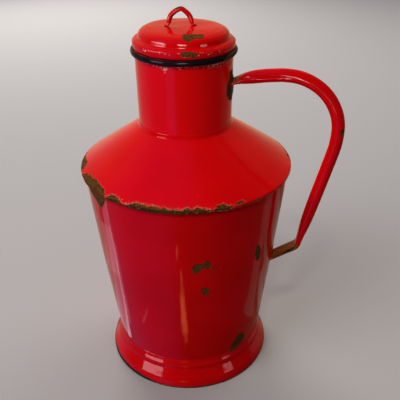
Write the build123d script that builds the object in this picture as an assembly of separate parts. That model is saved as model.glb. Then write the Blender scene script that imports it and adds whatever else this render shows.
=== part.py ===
from build123d import *
import os
from math import sin, cos, tan, atan2, radians, degrees, hypot, sqrt, pi

# Enamelled sheet-steel oil can with a lift-off lid and a tubular side handle.
# Millimetres, +Z up. Origin: centre of the foot, on the plane it stands on.
# The handle lies along +X. Every turned piece is a revolved strip of sheet.

# ---------------------------------------------------------------- dimensions
SHEET = 0.9              # steel with its enamel on both faces

# body wall: a straight cone between the foot crease and the shoulder seam
CREASE_Z = 35.4          # where the wall meets the foot ring
CREASE_R = 90.0          # outer radius there
WALL_SLOPE = 0.118       # radius gained per mm of height
WALL_BOTTOM_Z = 24.0     # lower edge of the wall, hidden inside the foot
WALL_FLANGE_Z = 261.05   # mid-plane of the outward flange at the top
WALL_FLANGE_R = 118.7

# foot
FOOT_R = 100.4           # outermost radius of the rolled edge
HEM_W = 3.3              # rolled edge, width and height
HEM_H = 3.3
HEM_CORNER = 1.05        # each rounded corner of the roll is drawn as three flats
FOOT_WIRE_R = 0.85

# shoulder
SEAM_R = 120.0           # outermost radius of the can
SEAM_Z0 = 258.9          # lower edge of the overhanging lip
SEAM_Z1 = 262.5
NECK_Z = 308.8           # where the cone meets the neck

# neck
NECK_R0 = 51.1           # outer radius at the crease (z = 309.5)
NECK_FLARE = 0.0153      # radius gained per mm of height
NECK_BOTTOM_Z = 303.0
NECK_TOP_Z = 393.0
BEAD_R = 54.5            # centre of the rolled rim
BEAD_Z = 390.35
BEAD_A = 2.1             # half-width
BEAD_B = 2.9             # half-height
RIM_WIRE_R = 1.35

# handle
TUBE_R = 7.1
BORE_R = 6.1
FLAT_W = 10.6            # half-width of a flattened end

# lid
LID_EDGE_Z = 393.6
LID_TOP_Z = 413.9
COLLAR_R = 50.3          # mid-radius of the ring that plugs into the neck
COLLAR_Z0 = 377.0
COLLAR_Z1 = 402.05
LOOP_R = 2.25            # wire radius
LOOP_AZ = 19.0           # direction of the loop's width
LOOP_DX, LOOP_DY = -3.2, -0.7   # the loop is welded on a little off centre


def wall_r(z):
    """Outer radius of the body wall at height z."""
    return CREASE_R + WALL_SLOPE * (z - CREASE_Z)


def neck_r(z):
    """Outer radius of the neck at height z."""
    return NECK_R0 + NECK_FLARE * (z - 309.5)


# ------------------------------------------------------------------- helpers
def offset_line(pts, d):
    """Corner points of an open line moved sideways by d (to the left of its direction)."""
    out = []
    n = len(pts)
    for i in range(n):
        ns = []
        for a, b in ((i - 1, i), (i, i + 1)):
            if a < 0 or b >= n:
                continue
            dx, dz = pts[b][0] - pts[a][0], pts[b][1] - pts[a][1]
            L = hypot(dx, dz)
            ns.append((-dz / L, dx / L))
        if len(ns) == 1:
            out.append((pts[i][0] + d * ns[0][0], pts[i][1] + d * ns[0][1]))
        else:
            k = 1 + ns[0][0] * ns[1][0] + ns[0][1] * ns[1][1]
            out.append((pts[i][0] + d * (ns[0][0] + ns[1][0]) / k,
                        pts[i][1] + d * (ns[0][1] + ns[1][1]) / k))
    return out


def turn(a, b, c):
    """Positive where the line a-b-c turns left."""
    return (b[0] - a[0]) * (c[1] - b[1]) - (b[1] - a[1]) * (c[0] - b[0])


def strip_face(pts, radii, t=SHEET):
    """Section of a sheet of thickness t along a bent mid-line, in the XZ plane."""
    sides = []
    for d in (t / 2, -t / 2):
        q = offset_line(pts, d)
        if len(pts) == 2:
            sides.append((q, None))
        else:
            rr = []
            for i in range(1, len(pts) - 1):
                left = turn(pts[i - 1], pts[i], pts[i + 1]) > 0
                rr.append(radii[i - 1] + (-d if left else d))
            sides.append((q, rr))
    edges = []
    for q, rr in sides:
        v = [(x, 0, z) for x, z in q]
        if rr is None:
            edges += [Line(v[0], v[1])]
        else:
            edges += FilletPolyline(*v, radius=rr).edges()
    a, b = sides[0][0], sides[1][0]
    edges.append(Line((a[0][0], 0, a[0][1]), (b[0][0], 0, b[0][1])))
    edges.append(Line((a[-1][0], 0, a[-1][1]), (b[-1][0], 0, b[-1][1])))
    return make_face(Wire.combine(edges)[0].edges())


def turned(face):
    return revolve(face, axis=Axis.Z)


def strip(pts, radii=(), t=SHEET):
    return turned(strip_face(pts, radii, t))


def solid_of(line, z0, z1, extra=0.0):
    """Solid of revolution under a radius function, used as a cutter."""
    pts = [(0, 0, z0), (line(z0) + extra, 0, z0), (line(z1) + extra, 0, z1), (0, 0, z1)]
    return turned(make_face(Polyline(*pts, close=True).edges()))


# ---------------------------------------------------------------- can: pieces
h = SHEET / 2

# tapered wall with its outward flange
body_wall = strip(
    [(wall_r(WALL_BOTTOM_Z) - h, WALL_BOTTOM_Z),
     (wall_r(WALL_FLANGE_Z) - h, WALL_FLANGE_Z),
     (WALL_FLANGE_R, WALL_FLANGE_Z)],
    [1.2])

# bottom: flange down along the wall, a flat ring and a raised middle
in_r = lambda z: wall_r(z) - SHEET - h - 0.02
bottom_plate = strip(
    [(in_r(WALL_BOTTOM_Z), WALL_BOTTOM_Z), (in_r(31.5), 31.5), (68.0, 31.5),
     (62.0, 33.4), (0.0, 33.4)],
    [1.6, 6.0, 6.0])

# foot ring: collar on the wall, band, a step in to the flat below it, band, flare
foot_ring = strip(
    [(90.5, 35.7), (90.09, 32.2), (89.97, 29.4), (91.9, 23.9), (91.96, 21.9),
     (92.53, 19.7), (98.3, 7.8), (99.2, HEM_H - 0.8)],
    [4.0, 3.0, 1.2, 3.0, 4.0, 8.0])
foot_ring = foot_ring - Pos(0, 0, -5) * Cylinder(130, 5 + HEM_H, align=(Align.CENTER, Align.CENTER, Align.MIN))

# rolled foot edge and its wire
hem_c = (FOOT_R - HEM_W / 2, HEM_H / 2)
hem_pts = []
for k in range(4):
    cx = hem_c[0] + (HEM_W / 2 - HEM_CORNER) * (1 if k in (0, 3) else -1)
    cz = hem_c[1] + (HEM_H / 2 - HEM_CORNER) * (1 if k in (0, 1) else -1)
    for j in range(4):
        a = radians(90 * k + 30 * j)
        hem_pts.append((cx + HEM_CORNER * cos(a), 0, cz + HEM_CORNER * sin(a)))
hem_sec = make_face(Polyline(*hem_pts, close=True).edges())
hem_bore = Plane.XZ.offset(0) * (Pos(hem_c[0], hem_c[1]) * Circle(FOOT_WIRE_R))
foot_edge_roll = turned(hem_sec) - turned(hem_bore)
foot_edge_wire = turned(hem_bore)

# conical shoulder: lip, cone, small collar up the neck
shoulder = strip(
    [(SEAM_R - h, SEAM_Z0), (SEAM_R - h, SEAM_Z1), (NECK_R0 + 0.05 + h, NECK_Z),
     (NECK_R0 + 0.1 + h, 312.2)],
    [1.3, 3.5])

# neck
neck_tube = strip([(neck_r(NECK_BOTTOM_Z) - h, NECK_BOTTOM_Z), (neck_r(NECK_TOP_Z) - h, NECK_TOP_Z)])

# rolled rim round its wire, just outside the neck's edge
bead_sec = Plane.XZ.offset(0) * (Pos(BEAD_R, BEAD_Z) * (Rot(0, 0, 90) * Ellipse(BEAD_B, BEAD_A)))
wire_sec = Plane.XZ.offset(0) * (Pos(BEAD_R, BEAD_Z) * Circle(RIM_WIRE_R))
neck_rim_wire = turned(wire_sec)
neck_rim_bead = turned(bead_sec) - neck_rim_wire

# ------------------------------------------------------------- handle plates
def oval_plate(line, zc, half_h, half_w, thick):
    """Oval patch that lies on a turned surface, centred on +X."""
    z0, z1 = zc - half_h - 2, zc + half_h + 2
    band = solid_of(line, z0, z1, thick) - solid_of(line, z0 - 0.01, z1 + 0.01, 0.0)
    prism = Plane.YZ.offset(30) * (Pos(0, zc) * Ellipse(half_w, half_h))
    return band & extrude(prism, amount=120)

PLATE_T = 1.2
upper_handle_plate = oval_plate(neck_r, 353.2, 12.4, 11.6, PLATE_T) - neck_tube
lower_handle_plate = oval_plate(wall_r, 146.0, 13.4, 12.6, PLATE_T) - body_wall

# -------------------------------------------------------------------- handle
# centreline in the XZ plane: three tangent arcs, then a straight run down
ARC_R = (197.0, 57.7, 105.6)
ARC_END = (16.2, 1.58, -89.34, -103.83)      # direction of travel, degrees from +X
start = (58.0, 359.97)


def arc_points(x, z, r, a0, a1):
    """Start, middle, end and end direction of an arc that turns clockwise."""
    cx, cz = x + r * sin(radians(a0)), z - r * cos(radians(a0))
    at = lambda a: (cx - r * sin(radians(a)), cz + r * cos(radians(a)))
    return at((a0 + a1) / 2), at(a1)


def on_arc(x, z, r, a0, a):
    cx, cz = x + r * sin(radians(a0)), z - r * cos(radians(a0))
    return cx - r * sin(radians(a)), cz + r * cos(radians(a))


TUBE_A0 = 10.4                                # the round tube starts here on the first arc
p_start = on_arc(*start, ARC_R[0], ARC_END[0], TUBE_A0)
p = p_start
path_edges = []
a0 = TUBE_A0
for r, a1 in zip(ARC_R, ARC_END[1:]):
    m, e = arc_points(*p, r, a0, a1)
    path_edges.append(ThreePointArc((p[0], 0, p[1]), (m[0], 0, m[1]), (e[0], 0, e[1])))
    p, a0 = e, a1
run = 76.0                                    # straight run before the tube begins to flatten
d_run = (cos(radians(a0)), sin(radians(a0)))
p_flat = (p[0] + run * d_run[0], p[1] + run * d_run[1])
path_edges.append(Line((p[0], 0, p[1]), (p_flat[0], 0, p_flat[1])))
path = Wire(path_edges)


def section(x, z, ang, half_t, half_w):
    """Oval section across a line travelling at ang degrees: half_t in the XZ plane, half_w along Y."""
    pl = Plane(origin=(x, 0, z), x_dir=(0, 1, 0),
               z_dir=(cos(radians(ang)), 0, sin(radians(ang))))
    return pl * Ellipse(half_w, half_t)


tube = sweep(section(*p_start, TUBE_A0, TUBE_R, TUBE_R + 0.001), path=path)
bore = sweep(section(*p_start, TUBE_A0, BORE_R, BORE_R + 0.001), path=path)

def blend_sections(keys, per=3):
    """More sections between the stated ones (x, z, angle, half_t, half_w), eased, for a smooth outside."""
    out = []
    n = len(keys)
    for i in range(n - 1):
        k0 = keys[max(i - 1, 0)]
        k1, k2 = keys[i], keys[i + 1]
        k3 = keys[min(i + 2, n - 1)]
        for j in range(per):
            t = j / per
            out.append(tuple(
                0.5 * (2 * b + (c - a) * t + (2 * a - 5 * b + 4 * c - d) * t * t
                       + (3 * b - a - 3 * c + d) * t ** 3)
                for a, b, c, d in zip(k0, k1, k2, k3)))
    out.append(keys[-1])
    return [section(*k) for k in out]


# upper end: flattens from the round tube towards the neck
def up(a, ang, half_t, half_w):
    return (*on_arc(*start, ARC_R[0], ARC_END[0], a), ang, half_t, half_w)

upper_end = loft(blend_sections([
    up(TUBE_A0, TUBE_A0, TUBE_R, TUBE_R + 0.001),
    up(12.0, 12.0, 6.7, 7.45),
    up(13.6, 13.6, 5.6, 8.5),
    up(15.2, 15.4, 4.0, 9.5),
    (54.6, 358.6, 18.6, 2.5, 10.3),
    (51.0, 357.2, 21.0, 2.1, FLAT_W),
], per=2), ruled=True)

# lower end: flattens, bends in and runs down to the wall as a strap
def along(s, half_t, half_w):
    return (p_flat[0] + s * d_run[0], p_flat[1] + s * d_run[1], a0, half_t, half_w)

lower_end = loft(blend_sections([
    along(0, TUBE_R, TUBE_R + 0.001),
    along(12, 6.6, 7.6),
    along(24, 5.6, 8.6),
    along(36, 4.2, 9.6),
    (134.4, 164.2, -112, 3.3, 10.2),
    (131.2, 160.2, -136, 2.7, 10.5),
    (124.0, 155.0, -145, 2.4, FLAT_W),
    (112.0, 146.9, -146, 2.2, FLAT_W),
    (97.0, 136.8, -146, 2.2, FLAT_W),
], per=2), ruled=True)
handle_tube = (tube - bore) + upper_end + lower_end
# both ends stop on their plates
handle_tube = handle_tube - solid_of(neck_r, 330, 380, PLATE_T)
handle_tube = handle_tube - solid_of(wall_r, 120, 200, PLATE_T)

# ----------------------------------------------------------------------- lid
lid_pan = strip(
    [(53.25, LID_EDGE_Z), (53.85, 397.2), (53.85, 400.5), (51.6, 402.1), (47.75, 403.7),
     (47.35, 408.0), (41.0, 411.9), (27.0, 413.2), (12.0, LID_TOP_Z - h),
     (0.0, LID_TOP_Z - h)],
    [2.0, 1.5, 3.0, 1.3, 5.0, 12.0, 30.0, 60.0])

lid_collar = strip([(COLLAR_R, COLLAR_Z0), (COLLAR_R, COLLAR_Z1)]) - lid_pan

# wire loop: a pointed arch in a vertical plane, with flattened feet turned outwards
loop_pl = Plane(origin=(LOOP_DX, LOOP_DY, LID_TOP_Z),
                x_dir=(cos(radians(LOOP_AZ)), sin(radians(LOOP_AZ)), 0),
                z_dir=(sin(radians(LOOP_AZ)), -cos(radians(LOOP_AZ)), 0))
arch2d = FilletPolyline((-12.7, 0.6), (-11.9, 8.6), (-7.2, 15.4), (0, 18.9), (7.2, 15.4),
                        (11.9, 8.6), (12.7, 0.6), radius=[11.0, 9.0, 5.0, 9.0, 11.0])
arch = loop_pl * arch2d
foot_pt = loop_pl.from_local_coords(Vector(-12.7, 0.6, 0))
foot_dir = loop_pl.from_local_coords(Vector(-11.9, 8.6, 0)) - foot_pt
loop_wire = sweep(Plane(origin=foot_pt, z_dir=foot_dir) * Circle(LOOP_R), path=Wire(arch.edges()))


def foot_tab(u):
    """Flattened foot of the loop: a low oval pad on the dome."""
    c = loop_pl.from_local_coords(Vector(u, 0, 0))
    pl = Plane(origin=(c.X, c.Y, LID_TOP_Z - 0.02),
               x_dir=(cos(radians(LOOP_AZ)), sin(radians(LOOP_AZ)), 0), z_dir=(0, 0, 1))
    pad = extrude(pl * SlotOverall(9.0, 5.4), amount=1.5)
    return fillet(pad.faces().sort_by(Axis.Z)[-1].edges(), 0.7)


lid_loop = loop_wire + foot_tab(-14.6) + foot_tab(14.6)
lid_loop = lid_loop - lid_pan - Pos(0, 0, LID_TOP_Z - 8) * Cylinder(30, 8, align=(Align.CENTER, Align.CENTER, Align.MIN))

# -------------------------------------------------------------------- export
NODES = {
    "body_wall": body_wall,
    "bottom_plate": bottom_plate,
    "foot_ring": foot_ring,
    "foot_edge_roll": foot_edge_roll,
    "foot_edge_wire": foot_edge_wire,
    "shoulder": shoulder,
    "neck_tube": neck_tube,
    "neck_rim_bead": neck_rim_bead,
    "neck_rim_wire": neck_rim_wire,
    "upper_handle_plate": upper_handle_plate,
    "lower_handle_plate": lower_handle_plate,
    "handle_tube": handle_tube,
    "lid_pan": lid_pan,
    "lid_collar": lid_collar,
    "lid_loop": lid_loop,
}

os.makedirs("parts", exist_ok=True)
for name, shape in NODES.items():
    export_step(shape, "parts/" + name + ".step")
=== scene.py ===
from math import atan2, ceil, cos, degrees, hypot, pi, radians, sin, sqrt, tan

import bmesh
import bpy
import numpy as np
from mathutils import Matrix, Vector


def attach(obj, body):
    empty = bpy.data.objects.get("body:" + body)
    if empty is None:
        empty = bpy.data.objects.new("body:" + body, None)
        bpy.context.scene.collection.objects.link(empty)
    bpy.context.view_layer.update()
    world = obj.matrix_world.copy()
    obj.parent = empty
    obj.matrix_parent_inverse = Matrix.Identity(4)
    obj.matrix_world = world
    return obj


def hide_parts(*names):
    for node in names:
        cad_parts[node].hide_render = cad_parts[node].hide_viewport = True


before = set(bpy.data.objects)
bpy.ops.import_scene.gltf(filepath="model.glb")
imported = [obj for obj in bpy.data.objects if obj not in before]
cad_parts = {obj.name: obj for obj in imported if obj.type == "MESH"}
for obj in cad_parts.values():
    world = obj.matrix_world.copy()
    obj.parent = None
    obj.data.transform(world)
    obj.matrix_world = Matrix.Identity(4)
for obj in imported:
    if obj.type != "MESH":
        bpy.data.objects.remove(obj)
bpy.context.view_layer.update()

# Red enamelled oil can: a can body of turned sheet with a tubular handle, and a lid that lifts off.
# Lengths in this file are millimetres in the object's own frame; meshes are written in metres.
MM = 0.001
scene = bpy.context.scene

# ------------------------------------------------------------------ numbers
CREASE_Z, CREASE_R, WALL_SLOPE = 35.4, 90.0, 0.118
SEAM_R, SEAM_Z0 = 120.0, 258.9
NECK_R0, NECK_FLARE = 51.1, 0.0153
SHEET = 0.9
LID_TOP = 413.9
LID_TILT = 0.8           # degrees: the lid sits a little askew
LOOP_AZ, LOOP_X, LOOP_Y = 19.0, -3.2, -0.7
WRAP = 100.0             # azimuth where the turned meshes close, at the back


def wall_r(z):
    t = np.clip((z - CREASE_Z) / (SEAM_Z0 - CREASE_Z), 0, 1)
    return CREASE_R + WALL_SLOPE * (z - CREASE_Z) + 0.75 * np.sin(pi * t)


def neck_r(z):
    return NECK_R0 + NECK_FLARE * (z - 309.5)


# -------------------------------------------------------------------- noise
class Waves:
    """Smooth seeded noise of about -1 to 1: a sum of sine waves of the given lengths in mm."""

    def __init__(self, seed, lengths, dims=3, per=7):
        g = np.random.default_rng(seed)
        ks, am = [], []
        for w in lengths:
            d = g.normal(size=(per, dims))
            d /= np.linalg.norm(d, axis=1)[:, None]
            ks.append(d * 2 * pi / (w * g.uniform(0.75, 1.35, per))[:, None])
            am += [w ** 0.6] * per
        self.k = np.concatenate(ks)
        self.a = np.array(am)
        self.a = self.a / sqrt((self.a ** 2).sum() / 2) * 0.55
        self.ph = g.uniform(0, 2 * pi, len(self.k))

    def __call__(self, p):
        out = np.zeros(len(p))
        for a, k, ph in zip(self.a, self.k, self.ph):
            out += a * np.sin(p @ k + ph)
        return out


def smooth(x, a, b):
    t = np.clip((x - a) / (b - a), 0, 1)
    return t * t * (3 - 2 * t)


# ------------------------------------------------------------ section lines
def rounded(pts, radii, steps, arc_step=0.35):
    """Dense points along a bent line with rounded corners."""
    n = len(pts)
    radii = [0.0] + list(radii) + [0.0]
    cuts, arcs = [0.0] * n, [None] * n
    for i in range(1, n - 1):
        a, b, c = (np.array(p, float) for p in pts[i - 1:i + 2])
        u, v = b - a, c - b
        lu, lv = np.linalg.norm(u), np.linalg.norm(v)
        u, v = u / lu, v / lv
        ang = atan2(u[0] * v[1] - u[1] * v[0], u @ v)
        if radii[i] > 0 and abs(ang) > 1e-4:
            t = min(radii[i] * tan(abs(ang) / 2), 0.48 * lu, 0.48 * lv)
            arcs[i] = (b - u * t, b + v * t, u, ang, t / tan(abs(ang) / 2))
            cuts[i] = t
    out = [np.array(pts[0], float)]
    for i in range(1, n):
        a = arcs[i - 1][1] if arcs[i - 1] else np.array(pts[i - 1], float)
        b = arcs[i][0] if arcs[i] else np.array(pts[i], float)
        L = np.linalg.norm(b - a)
        k = max(1, int(ceil(L / steps[i - 1])))
        out += [a + (b - a) * j / k for j in range(1, k + 1)]
        if arcs[i]:
            p0, p1, u, ang, r = arcs[i]
            k = max(2, int(ceil(abs(ang) * r / arc_step)), int(ceil(abs(ang) / radians(14))))
            k = min(k, 14)
            nrm = np.array([-u[1], u[0]]) * (1 if ang > 0 else -1)
            c = p0 + nrm * r
            for j in range(1, k + 1):
                th = ang * j / k
                d = p0 - c
                out.append(c + np.array([d[0] * cos(th) - d[1] * sin(th), d[0] * sin(th) + d[1] * cos(th)]))
    out = np.array(out)
    keep = np.concatenate([[True], np.linalg.norm(np.diff(out, axis=0), axis=1) > 1e-6])
    return out[keep]


def side_normals(P):
    """Normals to the right of the direction of travel."""
    d = np.gradient(P, axis=0)
    d /= np.linalg.norm(d, axis=1)[:, None]
    return np.stack([d[:, 1], -d[:, 0]], -1)


def sheet_section(pts, radii, steps, t=SHEET, inner_step=7.0, cap0=True, cap1=True):
    """Closed section of a sheet whose outer face is the given line (its right side is outside). Returns points and which are inside."""
    out = rounded(pts, radii, steps)
    coarse = rounded(pts, radii, [max(s, inner_step) for s in steps], 1.0)
    inn = coarse - side_normals(coarse) * t
    inn[:, 0] = np.maximum(inn[:, 0], 0.0)
    inn = inn[::-1]

    def cap(a, b, away):
        m = (a + b) / 2
        d = m - away
        d = d / max(np.linalg.norm(d), 1e-9)
        q = []
        for th in (0.25, 0.5, 0.75):
            w = a * (1 - th) + b * th
            q.append(w + d * t * 0.42 * sin(pi * th))
        return q

    P = list(out)
    flag = [0] * len(out)
    if cap1:
        c = cap(out[-1], inn[0], out[-2])
        P += c
        flag += [0, 0, 1]
    P += list(inn)
    flag += [1] * len(inn)
    if cap0:
        c = cap(inn[-1], out[0], out[1])
        P += c
        flag += [1, 0, 0]
    return np.array(P), np.array(flag), len(out)


# -------------------------------------------------------------------- marks
class Mark:
    """A chip or worn place, outlined in (azimuth or angle in degrees, distance along the section in mm)."""

    def __init__(self, pts, R, rough=0.6, depth=0.3, rim=0.0, worn=0.0, speck=0.0, grow=0.0):
        self.p = np.array(pts, float)
        self.R, self.rough, self.depth, self.rim, self.worn, self.speck, self.grow = R, rough, depth, rim, worn, speck, grow

    def sdf(self, az, s):
        c = self.p[:, 0].mean()
        d = (az - c + 180) % 360 - 180
        X = np.radians(d) * self.R
        P = np.stack([np.radians(self.p[:, 0] - c) * self.R, self.p[:, 1]], -1)
        lo, hi = P.min(0) - 8, P.max(0) + 8
        out = np.full(len(az), 9.0)
        near = (X > lo[0]) & (X < hi[0]) & (s > lo[1]) & (s < hi[1])
        if not near.any():
            return out
        q = np.stack([X[near], s[near]], -1)
        best = np.full(len(q), 1e9)
        inside = np.zeros(len(q), bool)
        for a, b in zip(P, np.roll(P, -1, axis=0)):
            ab = b - a
            t = np.clip(((q - a) @ ab) / max(ab @ ab, 1e-9), 0, 1)
            best = np.minimum(best, np.linalg.norm(q - a - t[:, None] * ab, axis=1))
            cond = (a[1] > q[:, 1]) != (b[1] > q[:, 1])
            with np.errstate(divide="ignore", invalid="ignore"):
                xi = a[0] + (q[:, 1] - a[1]) * (b[0] - a[0]) / (b[1] - a[1])
            inside ^= cond & (q[:, 0] < xi)
        out[near] = np.where(inside, -best, best) - self.grow
        return out


def oval(az, s, R, a, b, tilt=0.0, n=14, **kw):
    """Oval mark: half-sizes a and b in mm, long way turned by tilt degrees."""
    pts = []
    for i in range(n):
        th = 2 * pi * i / n
        x, y = a * cos(th), b * sin(th)
        c, d = cos(radians(tilt)), sin(radians(tilt))
        pts.append((az + degrees((x * c - y * d) / R), s + x * d + y * c))
    return Mark(pts, R, **kw)


edge_noise = Waves(11, (7.0, 3.2, 1.5), dims=3, per=8)


def read_marks(marks, az, s, xyz):
    """Nearest mark for each point: distance to its ragged edge, depth, rim, wear and pale specks."""
    d = np.full(len(az), 9.0)
    depth, rim, worn, speck = (np.zeros(len(az)) for _ in range(4))
    if not marks:
        return d, depth, rim, worn, speck
    nz = edge_noise(xyz)
    for m in marks:
        k = m.sdf(az, s)
        k = np.where(k < 8, k + m.rough * nz, k)
        w = k < d
        if m.worn:
            worn = np.maximum(worn, m.worn * smooth(-k, -m.rough * 1.6 - 1.2, 1.2))
        if m.speck:
            speck = np.maximum(speck, m.speck * smooth(-k, -1.3, 0.7))
        if m.depth == 0:
            continue
        d = np.where(w, k, d)
        depth = np.where(w, m.depth, depth)
        rim = np.where(w, m.rim, rim)
    return d, depth, rim, worn, speck


# ----------------------------------------------------------- turned meshes
pit_noise = Waves(23, (2.6, 1.3), dims=3, per=8)
form_noise = Waves(31, (150.0, 80.0, 42.0), dims=3, per=6)


def finish_mesh(name, me, mats, smooth_all=True):
    me.materials.clear()
    for m in mats:
        me.materials.append(m)
    if smooth_all:
        me.polygons.foreach_set("use_smooth", np.ones(len(me.polygons), bool))
    me.update()
    ob = bpy.data.objects.new(name, me)
    scene.collection.objects.link(ob)
    return ob


def surface(name, U, V, place, mats, marks=(), refine=(1.3, 0.7), closed_v=True, index_of=None, close_u=True, weld=2e-6):
    """Mesh over a grid of parameters (u in degrees, v in mm). place(u, v) gives points and outward normals in mm.
    Faces near a mark's edge are divided, so that the chipped edge is part of the shape."""
    nu, nv = len(U), len(V)
    uu, vv = np.meshgrid(U, V, indexing="ij")
    co = np.stack([uu.ravel(), vv.ravel(), np.zeros(nu * nv)], -1)
    i, j = np.meshgrid(np.arange(nu - 1), np.arange(nv - 1), indexing="ij")
    a = (i * nv + j).ravel()
    faces = np.stack([a, a + nv, a + nv + 1, a + 1], -1)
    me = bpy.data.meshes.new(name)
    me.from_pydata(co.tolist(), [], faces.tolist())
    bm = bmesh.new()
    bm.from_mesh(me)
    if marks:
        for width in refine:
            bm.verts.ensure_lookup_table()
            q = np.array([v.co[:2] for v in bm.verts])
            xyz, _ = place(q[:, 0], q[:, 1])
            d, *_ = read_marks([m for m in marks if m.depth], q[:, 0], q[:, 1], xyz)
            near = np.abs(d) < width
            bm.verts.index_update()
            inner = (q[:, 0] > U[0] + 1e-6) & (q[:, 0] < U[-1] - 1e-6) & (q[:, 1] > V[0] + 1e-6) & (q[:, 1] < V[-1] - 1e-6)
            edges = [e for e in bm.edges if (near[e.verts[0].index] or near[e.verts[1].index])
                     and inner[e.verts[0].index] and inner[e.verts[1].index]]
            if edges:
                bmesh.ops.subdivide_edges(bm, edges=edges, cuts=1, use_grid_fill=True)
    bm.verts.ensure_lookup_table()
    q = np.array([v.co[:2] for v in bm.verts])
    # the map: one sheet over the whole parameter range
    uv = bm.loops.layers.uv.new("OFBake")
    du, dv = U[-1] - U[0], V[-1] - V[0]
    for f in bm.faces:
        for lp in f.loops:
            c = lp.vert.co
            lp[uv].uv = (0.002 + 0.996 * (c[0] - U[0]) / du, 0.002 + 0.996 * (c[1] - V[0]) / dv)
        if index_of is not None:
            f.material_index = index_of(f.calc_center_median()[1])
    P, N = place(q[:, 0], q[:, 1])
    d, depth, rim, worn, speck = read_marks(marks, q[:, 0], q[:, 1], P)
    pit = pit_noise(P)
    sink = depth * smooth(-d, -0.12, 0.28) * (1 + 0.22 * pit)
    lift = 0.25 * depth * np.exp(-((d - 0.35) / 0.35) ** 2)      # the glass swells a little at a broken edge
    P = P - N * (sink - lift * 0.35)[:, None]
    for v, p in zip(bm.verts, P * MM):
        v.co = p
    layers = [bm.verts.layers.float.new(n) for n in ("wear", "rim", "worn", "speck")]
    wear = np.clip(0.5 - d / 6.0, 0, 1)
    for v, *vals in zip(bm.verts, wear, rim, worn, speck):
        for layer, x in zip(layers, vals):
            v[layer] = x
    bmesh.ops.remove_doubles(bm, verts=bm.verts, dist=weld)
    bmesh.ops.recalc_face_normals(bm, faces=bm.faces)
    bm.to_mesh(me)
    bm.free()
    return finish_mesh(name, me, mats)


def turned(name, sec, flag, n_out, n_az, mats, marks=(), shape=None, form=0.25, wrap=WRAP, **kw):
    """Turned sheet from a closed section. shape(P, az, s, N) may add to the points."""
    loop = np.vstack([sec, sec[:1]])
    seg = np.linalg.norm(np.diff(loop, axis=0), axis=1)
    S = np.concatenate([[0], np.cumsum(seg)])
    d = np.gradient(loop, axis=0)
    d[0] = d[-1] = (loop[1] - loop[-2])
    d /= np.maximum(np.linalg.norm(d, axis=1), 1e-9)[:, None]
    nrm = np.stack([d[:, 1], -d[:, 0]], -1)
    inner_from = S[n_out - 1]

    def place(az, s):
        r = np.interp(s, S, loop[:, 0])
        z = np.interp(s, S, loop[:, 1])
        nr = np.interp(s, S, nrm[:, 0])
        nz = np.interp(s, S, nrm[:, 1])
        L = np.maximum(np.hypot(nr, nz), 1e-9)
        a = np.radians(az)
        P = np.stack([r * np.cos(a), r * np.sin(a), z], -1)
        N = np.stack([nr / L * np.cos(a), nr / L * np.sin(a), nz / L], -1)
        radial = np.stack([np.cos(a), np.sin(a), 0 * a], -1)
        if form:
            f = form_noise(P * np.array([1, 1, 0.7]))
            P = P + radial * (form * f * np.clip(r / 40, 0, 1))[:, None]
        if shape is not None:
            P = shape(P, az, s, radial, N, r, z)
        return P, N

    flags = np.concatenate([flag, flag[:1]])

    def index_of(s):
        k = int(np.searchsorted(S, s)) - 1
        return int(flags[k] and flags[min(k + 1, len(flags) - 1)]) if len(mats) > 1 else 0

    U = wrap + np.linspace(0, 360, n_az + 1)
    return surface(name, U, S, place, mats, marks=marks, index_of=index_of, **kw)


def s_of(sec, n_out, z=None, r=None, lo=0, hi=None):
    """Distance along the outer line at a height or radius, between two of its points."""
    P = sec[:n_out]
    S = np.concatenate([[0], np.cumsum(np.linalg.norm(np.diff(P, axis=0), axis=1))])
    hi = n_out if hi is None else hi
    v = P[lo:hi, 1] if z is not None else P[lo:hi, 0]
    t = z if z is not None else r
    o = np.argsort(v)
    return float(np.interp(t, v[o], S[lo:hi][o]))


# ---------------------------------------------------------------- materials
class Nodes:
    def __init__(self, tree):
        self.t = tree
        tree.nodes.clear()

    def new(self, kind, **kw):
        n = self.t.nodes.new(kind)
        for k, v in kw.items():
            setattr(n, k, v)
        return n

    def put(self, sock, v):
        if hasattr(v, "is_output") or isinstance(v, bpy.types.NodeSocket):
            self.t.links.new(v, sock)
        else:
            sock.default_value = v

    def math(self, op, *a, clamp=False):
        n = self.new("ShaderNodeMath", operation=op, use_clamp=clamp)
        for s, v in zip(n.inputs, a):
            self.put(s, v)
        return n.outputs[0]

    def ramp(self, x, a, b, lo=0.0, hi=1.0, kind="SMOOTHSTEP"):
        n = self.new("ShaderNodeMapRange", interpolation_type=kind)
        n.clamp = True
        for s, v in zip(n.inputs[:5], (x, a, b, lo, hi)):
            self.put(s, v)
        return n.outputs[0]

    def mix(self, f, a, b, kind="MIX"):
        n = self.new("ShaderNodeMix", data_type="RGBA", blend_type=kind)
        self.put(n.inputs[0], f)
        for s, v in ((n.inputs[6], a), (n.inputs[7], b)):
            self.put(s, v if isinstance(v, bpy.types.NodeSocket) else (*v, 1.0))
        return n.outputs[2]

    def noise(self, co, scale, detail=2.0, rough=0.5, distort=0.0):
        n = self.new("ShaderNodeTexNoise")
        self.put(n.inputs["Vector"], co)
        n.inputs["Scale"].default_value = scale
        n.inputs["Detail"].default_value = detail
        n.inputs["Roughness"].default_value = rough
        n.inputs["Distortion"].default_value = distort
        return n.outputs[0]

    def attr(self, name):
        n = self.new("ShaderNodeAttribute", attribute_name=name)
        return n.outputs["Fac"]

    def cells(self, co, scale):
        """Distance to the nearest of many scattered points, and two random numbers of that point."""
        n = self.new("ShaderNodeTexVoronoi", feature="F1")
        self.put(n.inputs["Vector"], co)
        n.inputs["Scale"].default_value = scale
        c = self.new("ShaderNodeSeparateColor")
        self.t.links.new(n.outputs["Color"], c.inputs[0])
        return n.outputs["Distance"], c.outputs[0], c.outputs[1]


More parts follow.
